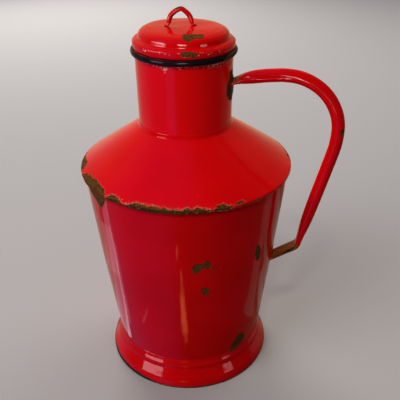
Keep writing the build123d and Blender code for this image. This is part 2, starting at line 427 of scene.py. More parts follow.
def enamel(name, base, dark, chip_cols, rim_col, worn_col, rough=0.07, ior=1.4, peel=1.0, specks=0.0, speck_col=(0.74, 0.44, 0.38)):
    """Vitreous enamel on steel. Vertex data says where it is chipped (wear), has a pale broken edge (rim) or is worn
    thin (worn); along the shoulder's lip, worn also carries painted shade.
    """
    mat = bpy.data.materials.new(name)
    mat.use_nodes = True
    m = Nodes(mat.node_tree)
    out = m.new("ShaderNodeOutputMaterial")
    bs = m.new("ShaderNodeBsdfPrincipled")
    m.t.links.new(bs.outputs[0], out.inputs[0])
    co = m.new("ShaderNodeTexCoord").outputs["Object"]
    big = m.noise(co, 14.0, 2.0)
    mid = m.noise(co, 90.0, 3.0)
    fine = m.noise(co, 900.0, 3.0)
    tiny = m.noise(co, 2600.0, 2.0)
    grit = m.noise(co, 420.0, 4.0, 0.65)

    # distance to the broken edge in mm, with fine raggedness
    d = m.math("MULTIPLY", m.math("SUBTRACT", 0.5, m.attr("wear")), 6.0)
    d = m.math("ADD", d, m.math("MULTIPLY", m.math("SUBTRACT", fine, 0.5), 0.9))
    d = m.math("ADD", d, m.math("MULTIPLY", m.math("SUBTRACT", tiny, 0.5), 0.5))
    chip = m.ramp(d, 0.10, -0.10)
    wide = m.math("ADD", 0.45, m.math("MULTIPLY", m.attr("rim"), 2.3))
    edge = m.math("MULTIPLY", m.ramp(m.math("DIVIDE", d, wide), 1.0, 0.15), m.ramp(d, -0.9, -0.15))
    rim = m.math("MULTIPLY", edge, m.attr("rim"), clamp=True)
    # 0 at a chip's broken edge, 1 about 0.9 mm inside: mask of the painted shade under the edge
    chip_edge_shade = m.ramp(d, 0.0, -0.9)

    # enamel colour
    col = m.mix(m.ramp(big, 0.35, 0.65), base, dark)
    col = m.mix(m.math("MULTIPLY", m.ramp(mid, 0.55, 0.8), 0.25), col, dark)
    if specks:
        sp = m.math("MULTIPLY", m.ramp(m.noise(co, 330.0, 1.0), 0.79, 0.83), specks)
        col = m.mix(sp, col, rim_col)
    worn = m.ramp(m.math("ADD", m.attr("worn"), m.math("MULTIPLY", m.math("SUBTRACT", grit, 0.5), 1.3)), 0.25, 0.8)
    worn = m.math("MULTIPLY", worn, m.ramp(m.attr("worn"), 0.02, 0.2))
    wcol = m.mix(m.ramp(fine, 0.3, 0.7), worn_col, chip_cols[0])
    col = m.mix(worn, col, wcol)
    # pale pits where the glass has flaked in dots
    dist, r1, r2 = m.cells(co, 640.0)
    size = m.math("MULTIPLY", m.math("ADD", 0.20, m.math("MULTIPLY", r1, 0.30)), m.math("ADD", 0.5, m.math("MULTIPLY", m.attr("speck"), 0.7)))
    dots = m.math("MULTIPLY", m.ramp(m.math("SUBTRACT", size, dist), 0.0, 0.08),
                  m.ramp(m.math("SUBTRACT", m.math("MULTIPLY", m.attr("speck"), 0.8), r2), 0.0, 0.05))
    col = m.mix(m.math("MULTIPLY", dots, 0.92), col, speck_col)
    # bared ground coat and rust
    rust = m.mix(m.ramp(grit, 0.36, 0.62), chip_cols[0], chip_cols[1])
    rust = m.mix(m.math("MULTIPLY", m.ramp(fine, 0.52, 0.72), 0.7), rust, chip_cols[2])
    # the chip's floor is painted darker within about 0.9 mm of its edge: painted shade
    rust = m.mix(chip_edge_shade, m.mix(0.6, rust, chip_cols[0]), rust)
    # chips go darker where worn is set: real wear, and painted shade along the shoulder's lip
    rust = m.mix(m.math("MULTIPLY", m.attr("worn"), 0.7, clamp=True), rust, chip_cols[0])
    col = m.mix(chip, col, rust)
    rim_n = m.math("MULTIPLY", rim, m.ramp(m.noise(co, 520.0, 4.0, 0.65), 0.43, 0.62))
    col = m.mix(rim_n, col, rim_col)
    m.put(bs.inputs["Base Color"], col)

    # gloss
    r = m.math("ADD", rough, m.math("MULTIPLY", m.ramp(mid, 0.4, 0.9), 0.06))
    r = m.math("MAXIMUM", r, m.math("MULTIPLY", worn, 0.42))
    r = m.math("MAXIMUM", r, m.math("MULTIPLY", chip, m.ramp(grit, 0.2, 0.8, 0.72, 0.5)))
    r = m.math("MAXIMUM", r, m.math("MULTIPLY", rim_n, 0.4))
    r = m.math("MAXIMUM", r, m.math("MULTIPLY", dots, 0.5))
    m.put(bs.inputs["Roughness"], r)
    bs.inputs["IOR"].default_value = ior
    m.put(bs.inputs["Specular IOR Level"], m.math("SUBTRACT", 0.5, m.math("MULTIPLY", m.math("MAXIMUM", chip, worn), 0.42)))

    # relief: fired-glass ripple, and rust pits in the chips
    ripple = m.math("ADD", m.math("MULTIPLY", m.noise(co, 120.0, 1.0), 0.045 * peel),
                    m.math("MULTIPLY", m.noise(co, 430.0, 1.0), 0.006 * peel))
    pits = m.math("MULTIPLY", m.math("MULTIPLY", grit, 0.35), m.math("MAXIMUM", chip, m.math("MULTIPLY", worn, 0.25)))
    h = m.math("ADD", m.math("MULTIPLY", ripple, m.math("SUBTRACT", 1.0, chip)), pits)
    bump = m.new("ShaderNodeBump")
    bump.inputs["Strength"].default_value = 1.0
    bump.inputs["Distance"].default_value = 0.001
    m.put(bump.inputs["Height"], h)
    m.put(bs.inputs["Normal"], bump.outputs[0])
    return mat


RUST = ((0.024, 0.012, 0.004), (0.135, 0.055, 0.009), (0.20, 0.074, 0.016))
RIM = (0.56, 0.145, 0.085)
red = enamel("red_enamel", (0.60, 0.0015, 0.003), (0.53, 0.001, 0.002), RUST, RIM, (0.20, 0.035, 0.012))
# lighter copies of the red for the shoulder, the lid and the neck: painted light, since more light falls on these parts
# than on the wall
red_top_lit = enamel("red_enamel_top_painted_light", (0.70, 0.0018, 0.0034), (0.63, 0.0014, 0.0026), RUST, RIM, (0.18, 0.040, 0.010))
red_lip_lit = enamel("red_enamel_shoulder_painted_light", (0.70, 0.0018, 0.0034), (0.63, 0.0014, 0.0026), RUST, RIM, (0.18, 0.040, 0.010), speck_col=(0.58, 0.13, 0.085))
red_neck_lit = enamel("red_enamel_neck_painted_light", (0.82, 0.002, 0.004), (0.75, 0.0016, 0.003), RUST, RIM, (0.20, 0.035, 0.012))
# the handle's red is a lighter copy too: painted light
red_handle_lit = enamel("red_enamel_handle_painted_light", (0.66, 0.0016, 0.0032), (0.58, 0.0012, 0.0024), RUST, RIM, (0.34, 0.095, 0.022))
black = enamel("black_enamel", (0.010, 0.009, 0.010), (0.006, 0.005, 0.006), RUST, (0.30, 0.14, 0.08), (0.10, 0.06, 0.028),
               rough=0.12, ior=1.34)
inside = enamel("inside_enamel", (0.030, 0.031, 0.036), (0.018, 0.019, 0.023), RUST, (0.3, 0.2, 0.15), (0.10, 0.06, 0.03),
                rough=0.16, ior=1.45, specks=0.8)


def bare_steel(name, a, b, c, rough=0.5, metal=0.75):
    mat = bpy.data.materials.new(name)
    mat.use_nodes = True
    m = Nodes(mat.node_tree)
    out = m.new("ShaderNodeOutputMaterial")
    bs = m.new("ShaderNodeBsdfPrincipled")
    m.t.links.new(bs.outputs[0], out.inputs[0])
    co = m.new("ShaderNodeTexCoord").outputs["Object"]
    g1, g2 = m.noise(co, 260.0, 5.0, 0.65), m.noise(co, 1500.0, 3.0)
    col = m.mix(m.ramp(g1, 0.38, 0.62), a, b)
    col = m.mix(m.math("MULTIPLY", m.ramp(g2, 0.5, 0.75), 0.6), col, c)
    m.put(bs.inputs["Base Color"], col)
    bs.inputs["Metallic"].default_value = metal
    m.put(bs.inputs["Roughness"], m.ramp(g1, 0.3, 0.7, rough + 0.15, rough - 0.1))
    bump = m.new("ShaderNodeBump")
    bump.inputs["Strength"].default_value = 0.6
    bump.inputs["Distance"].default_value = 0.0003
    m.put(bump.inputs["Height"], m.math("ADD", g1, m.math("MULTIPLY", g2, 0.4)))
    m.put(bs.inputs["Normal"], bump.outputs[0])
    return mat


browned = bare_steel("browned_steel", (0.030, 0.018, 0.010), (0.085, 0.050, 0.022), (0.15, 0.075, 0.03), 0.5, 0.35)

# --------------------------------------------------------------- body wall
wz = [24.0, 34.0, 60.0, 120.0, 200.0, 236.0, 258.2]
wall_pts = [(float(wall_r(z)) - (0.0 if z > 36 else 0.45), z) for z in wz] + [(118.9, 260.9)]
wsec, wflag, wn = sheet_section(wall_pts, [30, 200, 400, 400, 200, 3.0][:len(wall_pts) - 2] , [3, 2.0, 2.4, 2.4, 1.8, 1.4, 0.8])
WZ = lambda z: s_of(wsec, wn, z=z)


def wall_mark(pts, **kw):
    R = float(wall_r(np.mean([p[1] for p in pts])))
    return Mark([(a, WZ(z)) for a, z in pts], R, **kw)


wall_marks = [
    # two-lobed chip on the front, with its crumbs
    wall_mark([(-75.0, 185.1), (-74.7, 180.1), (-73.6, 177.1), (-71.5, 177.4), (-69.8, 180.7), (-68.4, 184.6), (-66.9, 183.4),
               (-65.4, 181.5), (-64.3, 183.2), (-64.1, 188.1), (-65.0, 192.7), (-66.8, 194.0), (-68.2, 192.3), (-68.7, 189.6),
               (-70.4, 190.8), (-72.7, 190.5), (-74.4, 188.6)], rough=0.55, depth=0.32),
    oval(-62.5, WZ(180.6), 107, 1.8, 1.8, rough=0.3, depth=0.25),
    oval(-63.5, WZ(176.8), 107, 0.9, 0.9, rough=0.2, depth=0.2),
    oval(-61.0, WZ(183.2), 107, 1.0, 1.1, rough=0.2, depth=0.2),
    wall_mark([(-69.5, 150.4), (-68.7, 154.7), (-66.9, 155.2), (-65.0, 153.2), (-64.2, 148.6), (-64.8, 144.3), (-66.7, 143.8),
               (-68.6, 145.9)], rough=0.6, depth=0.3),
    # tall chip beside the handle's lower end
    wall_mark([(-32.0, 194.0), (-29.2, 186.4), (-27.2, 177.2), (-27.6, 170.4), (-29.4, 166.6), (-32.1, 173.0), (-33.7, 181.0),
               (-33.3, 186.9), (-32.8, 191.4)], rough=0.5, depth=0.3, rim=0.2),
    # slanted chip at the foot crease
    wall_mark([(-44.1, 38.5), (-44.0, 46.6), (-41.5, 49.5), (-40.0, 55.9), (-37.3, 60.0), (-33.5, 59.4), (-30.0, 52.0), (-30.0, 43.2),
               (-32.7, 38.3), (-35.5, 35.1), (-37.5, 33.2), (-41.3, 32.9)], rough=0.7, depth=0.32, rim=0.1),
    # the big seam chip runs down onto the wall
    wall_mark([(-146.0, 262.0), (-145.6, 249.0), (-141.0, 246.6), (-137.0, 244.4), (-134.4, 240.4), (-132.0, 237.8), (-129.4, 239.2),
               (-127.4, 244.5), (-125.6, 250.0), (-123.8, 256.0), (-122.4, 262.0)], rough=0.9, depth=0.3, rim=0.45),
    wall_mark([(-121.0, 262.0), (-119.0, 256.6), (-114.0, 257.4), (-108.0, 257.6), (-106.0, 262.0)], rough=0.5, depth=0.1, rim=0.3),
    # small ones round the sides and back
    wall_mark([(38.0, 214.0), (40.2, 211.0), (42.8, 213.6), (42.0, 218.4), (39.2, 218.8)], rough=0.7, depth=0.3),
    wall_mark([(95.0 - 5, 120.0), (96.6 - 5, 117.2), (99.4 - 5, 119.4), (98.8 - 5, 123.6), (96.0 - 5, 124.0)], rough=0.7, depth=0.3),
    wall_mark([(166.0, 88.0), (168.6, 85.0), (171.6, 88.0), (170.4, 93.0), (167.0, 93.4)], rough=0.8, depth=0.3),
    wall_mark([(-176.0, 240.0), (-174.6, 237.8), (-172.4, 239.4), (-173.2, 243.0), (-175.2, 243.0)], rough=0.6, depth=0.3, rim=0.3),
    oval(58.0, WZ(52.0), 92, 2.6, 1.8, tilt=30, rough=0.6, depth=0.28),
    oval(140.0, WZ(196.0), 109, 1.6, 1.2, rough=0.4, depth=0.25),
]


def wall_shape(P, az, s, radial, N, r, z):
    # shallow dents, and the lapped side seam behind the handle
    add = np.zeros(len(az))
    for a0, z0, w, h in ((-98, 120, 26, -0.5), (-60, 96, 20, -0.45), (-36, 215, 24, -0.4), (-120, 205, 30, 0.35),
                         (20, 130, 24, -0.6), (110, 170, 32, -0.7), (170, 120, 26, -0.5), (-160, 150, 30, 0.35)):
        da = np.radians((az - a0 + 180) % 360 - 180) * 100
        add += h * np.exp(-(da ** 2 + (z - z0) ** 2) / (w * w))
    lap = (az - 1.5 + 180) % 360 - 180
    x = np.radians(lap) * 105
    add += 0.38 * (smooth(x, -4.2, -3.2) - smooth(x, 3.0, 6.5)) * smooth(z, 36, 44)
    fade = smooth(z, 34, 60) * (1 - smooth(z, 240, 257))
    return P + radial * (add * fade)[:, None]


body_wall = turned("body_wall_enamelled", wsec, wflag, wn, 420, [red, inside], marks=wall_marks, shape=wall_shape, form=0.22)
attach(body_wall, "can")
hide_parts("body_wall")

# ---------------------------------------------------------------- shoulder
sh_pts = [(119.95, 258.95), (120.0, 262.35), (104.0, 273.55), (82.0, 288.55), (66.0, 299.2), (52.3, 308.75), (51.45, 313.4)]
ssec, sflag, sn = sheet_section(sh_pts, [1.1, 300, 200, 120, 3.6], [0.36, 0.55, 2.4, 2.6, 2.4, 0.9], inner_step=6.0)
s_lip = 0.0
cone_R = lambda r: s_of(ssec, sn, r=r, lo=12)


def lip(pts, **kw):
    """Marks near the lip: (azimuth, mm up from the lip's lower edge, round the corner and up the cone)."""
    return Mark(pts, 119.0, **kw)


sh_marks = [
    lip([(-181.0, -2), (-180.0, 3.5), (-175.0, 6.5), (-169.5, 7.5), (-165.5, 10.0), (-161.6, 12.4), (-158.0, 12.6), (-155.4, 9.8),
         (-154.2, 6.0), (-154.6, -2)], rough=0.8, depth=0.32, rim=0.3),
    lip([(-151.6, -2), (-151.0, 3.6), (-148.0, 8.0), (-144.6, 11.0), (-140.4, 11.4), (-136.2, 12.6), (-131.6, 11.8),
         (-127.4, 10.0), (-124.4, 8.0), (-122.6, 5.0), (-121.9, -2)], rough=0.8, depth=0.34, rim=0.55),
    lip([(-121.2, -2), (-120.8, 4.6), (-119.0, 7.6), (-116.6, 8.4), (-113.8, 7.0), (-112.0, 4.2), (-110.4, 2.6),
         (-109.0, -2)], rough=0.8, depth=0.3, rim=0.8),
    # mottled band above the lip's front edge
    lip([(-109.4, 1.0), (-107.6, 3.0), (-105.6, 5.6), (-103.6, 7.4), (-101.0, 7.6), (-98.8, 6.2), (-96.4, 6.6), (-94.0, 7.6), (-91.6, 6.6),
         (-88.8, 6.8), (-86.0, 5.6), (-83.4, 5.6), (-80.6, 4.8), (-77.6, 6.6), (-74.6, 5.4), (-71.6, 7.6), (-69.6, 6.2), (-67.8, 4.4),
         (-65.8, 3.2), (-66.4, 0.8), (-78.0, 0.6), (-92.0, 0.8)], rough=0.75, depth=0.26, rim=1.0),
    lip([(-64.6, 1.0), (-63.8, 4.0), (-62.4, 6.4), (-60.4, 7.4), (-58.6, 8.0), (-57.0, 5.6), (-55.2, 3.8), (-54.2, 2.2),
         (-56.0, 1.2), (-60.0, 0.8)], rough=0.6, depth=0.3, rim=0.7),
    lip([(-53.2, 4.2), (-52.2, 6.2), (-50.4, 7.2), (-48.4, 6.8), (-47.4, 5.0), (-48.8, 3.8), (-51.4, 3.4)], rough=0.5, depth=0.26, rim=0.4),
    lip([(-46.0, 1.2), (-44.0, 2.4), (-40.0, 2.6), (-37.0, 2.0), (-37.0, 1.2), (-42.0, 0.6)], rough=0.5, depth=0.12, rim=0.3),
    lip([(-121.0, 4.0), (-116.0, 9.4), (-108.0, 8.0), (-100.0, 9.2), (-90.0, 8.2), (-80.0, 7.6), (-72.0, 8.4), (-66.0, 5.0), (-66.0, 1.6),
         (-90.0, 1.6), (-112.0, 1.6)], rough=0.9, depth=0.0, speck=0.62),
    # dark line along the lip's lower edge: painted shade under the lip, laid on as wear
    lip([(-123.6, -2.0), (-122.4, 1.6), (-116.0, 2.4), (-108.0, 2.2), (-101.0, 3.2), (-92.0, 3.4), (-84.0, 3.0), (-76.0, 3.3), (-69.0, 2.8),
         (-62.0, 1.8), (-55.0, 1.6), (-47.0, 1.2), (-40.0, -2.0)], rough=0.5, depth=0.0, worn=1.0),
    lip([(-121.0, -2.0), (-119.0, 0.6), (-110.0, 1.0), (-101.0, 1.7), (-90.0, 1.8), (-78.0, 1.5), (-70.0, 1.3), (-62.0, 0.4), (-60.0, -2.0)],
        rough=0.45, depth=0.16),
    # pin-head chips on the cone
    oval(-37.5, cone_R(81.4), 81, 0.45, 0.4, rough=0.1, depth=0.1, rim=0.2),
    oval(-56.6, cone_R(95.6), 96, 0.5, 0.35, rough=0.1, depth=0.1, rim=0.2),
    oval(-71.3, cone_R(106.5), 106, 0.5, 0.55, rough=0.1, depth=0.1, rim=0.2),
    # the far side
    lip([(8.0, -2), (9.0, 4.6), (12.0, 7.6), (16.0, 6.6), (20.0, 7.8), (23.0, 4.0), (24.0, -2)], rough=0.9, depth=0.3, rim=0.7),
    lip([(52.0, -2), (53.0, 3.6), (57.0, 5.6), (62.0, 4.8), (66.0, 8.4), (70.0, 7.4), (74.0, 3.4), (75.0, -2)], rough=0.9, depth=0.3, rim=0.8),
    lip([(128.0, -2), (129.6, 6.6), (134.0, 10.2), (139.0, 8.6), (143.0, 10.8), (148.0, 6.0), (149.0, -2)], rough=1.1, depth=0.32, rim=0.6),
    lip([(163.0, -2), (164.0, 3.2), (168.0, 4.6), (172.0, 3.0), (173.0, -2)], rough=0.7, depth=0.28, rim=0.7),
    oval(88.0, cone_R(92.0), 92, 1.6, 1.1, rough=0.5, depth=0.25, rim=0.5),
    oval(152.0, cone_R(72.0), 72, 1.0, 0.9, rough=0.3, depth=0.2, rim=0.8),
]


def shoulder_shape(P, az, s, radial, N, r, z):
    lipf = smooth(r, 112, 119.4)
    wob = edge_noise(P * np.array([0.16, 0.16, 0.05]))
    P = P.copy()
    P[:, 2] += 0.28 * wob * lipf
    return P + radial * (0.16 * edge_noise(P * np.array([0.35, 0.35, 0.2])) * lipf)[:, None]


shoulder = turned("shoulder_enamelled", ssec, sflag, sn, 600, [red_lip_lit, inside], marks=sh_marks, shape=shoulder_shape, form=0.25,
                  refine=(1.0, 0.5))
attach(shoulder, "can")
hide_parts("shoulder")

# -------------------------------------------------------------------- neck
nk_pts = [(float(neck_r(303.0)), 303.0), (float(neck_r(340)), 340.0), (float(neck_r(380)), 380.0), (float(neck_r(392.4)), 392.4)]
nsec, nflag, nn = sheet_section(nk_pts, [300, 300], [2.2, 2.2, 0.7], inner_step=8.0)
NZ = lambda z: s_of(nsec, nn, z=z)


def neck_mark(pts, **kw):
    return Mark([(a, NZ(z)) for a, z in pts], 52.2, **kw)


neck_marks = [
    # bared metal beside the handle's upper plate
    neck_mark([(-18.3, 347.0), (-20.4, 353.4), (-19.2, 359.0), (-15.4, 362.4), (-11.4, 363.8), (-11.8, 366.0), (-13.0, 368.6), (-13.4, 371.4),
               (-11.4, 372.9), (-6.8, 372.4), (0.0, 370.6), (9.0, 371.0), (15.0, 366.0), (15.6, 352.0), (12.0, 340.6), (2.0, 337.6), (-8.0, 339.2),
               (-14.6, 342.0)], rough=0.5, depth=0.22, rim=0.2),
    # pale specks just under the rim, with one run
    neck_mark([(-136, 391.0), (-134, 386.6), (-120, 385.4), (-108, 384.8), (-101, 384.4), (-98.4, 380.6), (-95.2, 384.8), (-86, 385.0), (-76, 385.3),
               (-68, 385.0), (-60, 384.6), (-50, 383.0), (-42, 382.4), (-34, 381.8), (-24, 381.4), (-14, 384.0), (-4, 386.4), (-4, 391.0)],
              rough=0.7, depth=0.0, speck=0.95),
    neck_mark([(-132, 391.0), (-130, 386.9), (-112, 386.4), (-101, 386.2), (-98.2, 382.6), (-95.4, 386.2), (-86, 386.5), (-72, 386.6), (-58, 386.4),
               (-44, 385.0), (-28, 384.6), (-16, 386.4), (-16, 391.0)], rough=0.4, depth=0.0, speck=1.3),
    neck_mark([(-102.2, 388.0), (-100.4, 384.0), (-98.4, 379.8), (-96.4, 384.0), (-94.4, 388.0)], rough=0.3, depth=0.0, speck=1.5),
    neck_mark([(-69, 391.0), (-67, 387.4), (-62, 387.2), (-58, 387.6), (-57, 391.0)], rough=0.5, depth=0.1, rim=0.4),
    neck_mark([(24, 390.0), (33, 386.0), (60, 386.4), (90, 385.8), (120, 386.6), (122, 390.0)], rough=0.9, depth=0.0, speck=0.8),
    neck_mark([(128, 389.6), (131, 385.2), (139, 386.0), (146, 384.8), (152, 386.8), (153, 389.6)], rough=0.7, depth=0.14, rim=0.8),
    neck_mark([(170, 390.0), (180, 386.2), (204, 386.4), (216, 387.0), (218, 390.0)], rough=0.9, depth=0.0, speck=0.85),
    oval(-27.6, NZ(366.0), 52, 0.5, 0.6, rough=0.2, depth=0.0, speck=1.3),
    oval(120.0, NZ(346.0), 52, 1.7, 1.2, rough=0.5, depth=0.22),
]
neck = turned("neck_enamelled", nsec, nflag, nn, 300, [red_neck_lit, inside], marks=neck_marks, form=0.10, refine=(1.0, 0.5))
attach(neck, "can")
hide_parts("neck_tube")

# --------------------------------------------------------------- neck bead
BR, BZ, BA, BB = 54.5, 390.35, 2.1, 2.9
th = np.linspace(0, 2 * pi, 33)[:-1]
# starts at the inner side so that the seam of the map is hidden
bead_sec = np.stack([BR - BA * np.cos(th) * (1 + 0.0 * th), BZ - BB * np.sin(th)], -1)
bead_S = np.concatenate([[0], np.cumsum(np.linalg.norm(np.diff(np.vstack([bead_sec, bead_sec[:1]]), axis=0), axis=1))])
B = float(bead_S[-1])
bead_marks = [
    Mark([(-31, B * .34), (-27, B * .24), (-16, B * .20), (-4, B * .22), (6, B * .26), (11, B * .40), (9, B * .62), (0, B * .72), (-14, B * .70), (-24, B * .58), (-30, B * .46)],
         56, rough=1.0, depth=0.0, worn=0.95),
    Mark([(-20, B * .42), (-15, B * .36), (-8, B * .40), (-6, B * .52), (-12, B * .58), (-18, B * .54)], 56, rough=0.8, depth=0.2, rim=0.3),
    Mark([(-150, B * .40), (-146, B * .34), (-141, B * .40), (-143, B * .50), (-148, B * .48)], 56, rough=0.6, depth=0.0, worn=0.5),
    Mark([(-126, B * .30), (-100, B * .27), (-70, B * .28), (-45, B * .28), (-45, B * .22), (-90, B * .21), (-126, B * .22)], 56, rough=0.5, depth=0.0, worn=0.35),
    oval(86, B * .50, 56, 4.5, 1.6, rough=0.8, depth=0.2, rim=0.3),
    oval(150, B * .62, 56, 3.0, 1.2, rough=0.8, depth=0.2, rim=0.3),
]


def bead_shape(P, az, s, radial, N, r, z):
    f = Waves(51, (30.0, 12.0), 3, 6)(P)
    g = Waves(52, (60.0, 20.0), 3, 6)(P)
    P = P + N * (0.10 * f)[:, None]
    P[:, 2] += 0.16 * g
    return P


bead = turned("neck_rim_bead_black", bead_sec, np.zeros(len(bead_sec), int), len(bead_sec), 360, [black], marks=bead_marks,
              shape=bead_shape, form=0.08, refine=(0.8,))
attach(bead, "can")
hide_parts("neck_rim_bead", "neck_rim_wire")

# --------------------------------------------------------------- foot ring
ft_pts = [(100.42, 1.75), (100.1, 4.6), (99.3, 8.6), (98.0, 12.0), (95.2, 17.4), (92.7, 22.6), (92.35, 24.8), (92.5, 26.6), (92.2, 28.4),
          (90.35, 32.6), (89.9, 36.0)]
fsec, fflag, fn = sheet_section(ft_pts, [6, 12, 12, 40, 3.0, 1.2, 1.0, 2.5, 5.0], [0.8, 1.0, 1.0, 1.2, 1.2, 0.6, 0.5, 0.5, 0.8, 1.0],
                                inner_step=4.0)
FZ = lambda z: s_of(fsec, fn, z=z)


def foot_mark(pts, **kw):
    return Mark([(a, FZ(z)) for a, z in pts], 95.0, **kw)


foot_marks = [
    foot_mark([(-44.4, 37.0), (-43.6, 34.4), (-40.0, 33.0), (-36.8, 33.6), (-35.2, 37.0)], rough=0.5, depth=0.3, rim=0.1),
    foot_mark([(-178, 1.0), (-170, 4.4), (-158, 5.4), (-146, 5.6), (-134, 5.2), (-122, 4.6), (-112, 3.8), (-102, 1.0)], rough=0.4, depth=0.08,
              worn=1.0),
    foot_mark([(-120, 1.0), (-116, 3.4), (-100, 3.6), (-80, 3.0), (-60, 3.4), (-40, 3.2), (-20, 3.2), (-12, 1.0)], rough=0.6, depth=0.0, worn=0.6),
    foot_mark([(60, 3.0), (64, 6.6), (70, 8.4), (77, 7.4), (80, 3.0)], rough=0.8, depth=0.28, rim=0.5),
    foot_mark([(140, 3.0), (143, 5.6), (150, 6.6), (156, 5.0), (158, 3.0)], rough=0.8, depth=0.28, rim=0.5),
    foot_mark([(20, 3.0), (24, 4.8), (40, 5.0), (50, 4.6), (52, 3.0)], rough=0.7, depth=0.0, worn=0.6),
    oval(-112.5, FZ(33.0), 92, 0.5, 0.5, rough=0.2, depth=0.0, speck=1.3),
]


def foot_shape(P, az, s, radial, N, r, z):
    """The ring's lower edge sits higher at the left front, where the black roll shows in full."""
    a = (az + 140 + 180) % 360 - 180
    w = 1 - smooth(np.abs(a), 28, 40)
    P = P.copy()
    P[:, 2] += 1.5 * w * (1 - smooth(z, 1.6, 7.0))
    return P


foot = turned("foot_ring_enamelled", fsec, fflag, fn, 420, [red, inside], marks=foot_marks, shape=foot_shape, form=0.12, refine=(1.0, 0.5))
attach(foot, "can")
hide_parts("foot_ring")

# ---------------------------------------------------------- foot edge roll
HW = 3.3
hr = [(98.75 + 1.65 * np.sign(cos(t)) * abs(cos(t)) ** 0.62, 1.66 + 1.65 * np.sign(sin(t)) * abs(sin(t)) ** 0.62) for t in (pi + np.linspace(0, 2 * pi, 29)[:-1])]
hem_sec = np.array(hr)
hem_L = float(np.linalg.norm(np.diff(np.vstack([hem_sec, hem_sec[:1]]), axis=0), axis=1).sum())
hem_marks = [
    Mark([(-70, hem_L * .42), (-66, hem_L * .34), (-40, hem_L * .36), (-10, hem_L * .36), (0, hem_L * .45), (-10, hem_L * .66), (-40, hem_L * .70), (-66, hem_L * .66)],
         100, rough=0.9, depth=0.0, worn=0.75),
    Mark([(-96, hem_L * .46), (-90, hem_L * .40), (-80, hem_L * .44), (-76, hem_L * .56), (-86, hem_L * .64), (-94, hem_L * .60)], 100, rough=0.8, depth=0.12, rim=0.2),
    Mark([(30, hem_L * .42), (36, hem_L * .34), (60, hem_L * .36), (84, hem_L * .40), (80, hem_L * .66), (50, hem_L * .68), (34, hem_L * .62)],
         100, rough=0.9, depth=0.0, worn=0.7),
]


def hem_shape(P, az, s, radial, N, r, z):
    f = edge_noise(P * np.array([0.3, 0.3, 0.3]))
    w = smooth(z, 0.4, 1.6)
    return P + N * (0.07 * f * w)[:, None]


hem = turned("foot_edge_roll_black", hem_sec, np.zeros(len(hem_sec), int), len(hem_sec), 420, [black], marks=hem_marks,
             shape=hem_shape, form=0.06, refine=(0.8,))
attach(hem, "can")
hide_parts("foot_edge_roll", "foot_edge_wire")

# --------------------------------------------------------------------- lid
tilt_axis = Vector((0.17526, -0.85194, 0)).normalized()      # seen from the front, the left side is the high one


def tilt(P, z0=398.0):
    """The lid's small lean: its left side is up in the front view."""
    right = np.array([0.98027, 0.19751, 0.0])
    a = radians(LID_TILT)
    x = P @ right
    dz = P[:, 2] - z0
    # a turn in the plane of (right, up)
    nx, nz = x * cos(a) + dz * sin(a), -x * sin(a) + dz * cos(a)
    return P + right * (nx - x)[:, None] + np.array([0, 0, 1.0]) * (nz + z0 - P[:, 2])[:, None] + np.array([0, 0, 0.42])


lp = [(53.7, 393.75), (54.25, 396.0), (54.25, 400.3), (52.2, 402.1), (48.35, 403.4), (47.7, 407.8), (45.4, 410.6), (41.0, 412.35),
      (34.0, 413.35), (24.0, 413.85), (12.0, 413.95), (0.0, 413.95)]
lsec, lflag, ln = sheet_section(lp, [2.5, 1.7, 3.0, 1.0, 5.0, 6.0, 12.0, 30.0, 80.0, 100.0],
                                [0.6, 0.6, 0.6, 0.7, 0.6, 0.7, 0.9, 1.2, 1.8, 2.4, 2.4], t=0.85, inner_step=5.0, cap1=False)
LR = lambda r: s_of(lsec, ln, r=r, lo=0) if False else float(np.interp(-r, -lsec[:ln][lsec[:ln, 1] > 404.5][:, 0],
     np.concatenate([[0], np.cumsum(np.linalg.norm(np.diff(lsec[:ln], axis=0), axis=1))])[lsec[:ln, 1] > 404.5]))
LZ = lambda z: s_of(lsec, ln, z=z, lo=0, hi=int((lsec[:ln, 1] < 402.0).sum()))


def dome_mark(xy, **kw):
    """Mark on the dome from points seen from above, in mm."""
    P = [(degrees(atan2(y, x)), LR(hypot(x, y))) for x, y in xy]
    return Mark(P, float(np.mean([hypot(x, y) for x, y in xy])), **kw)


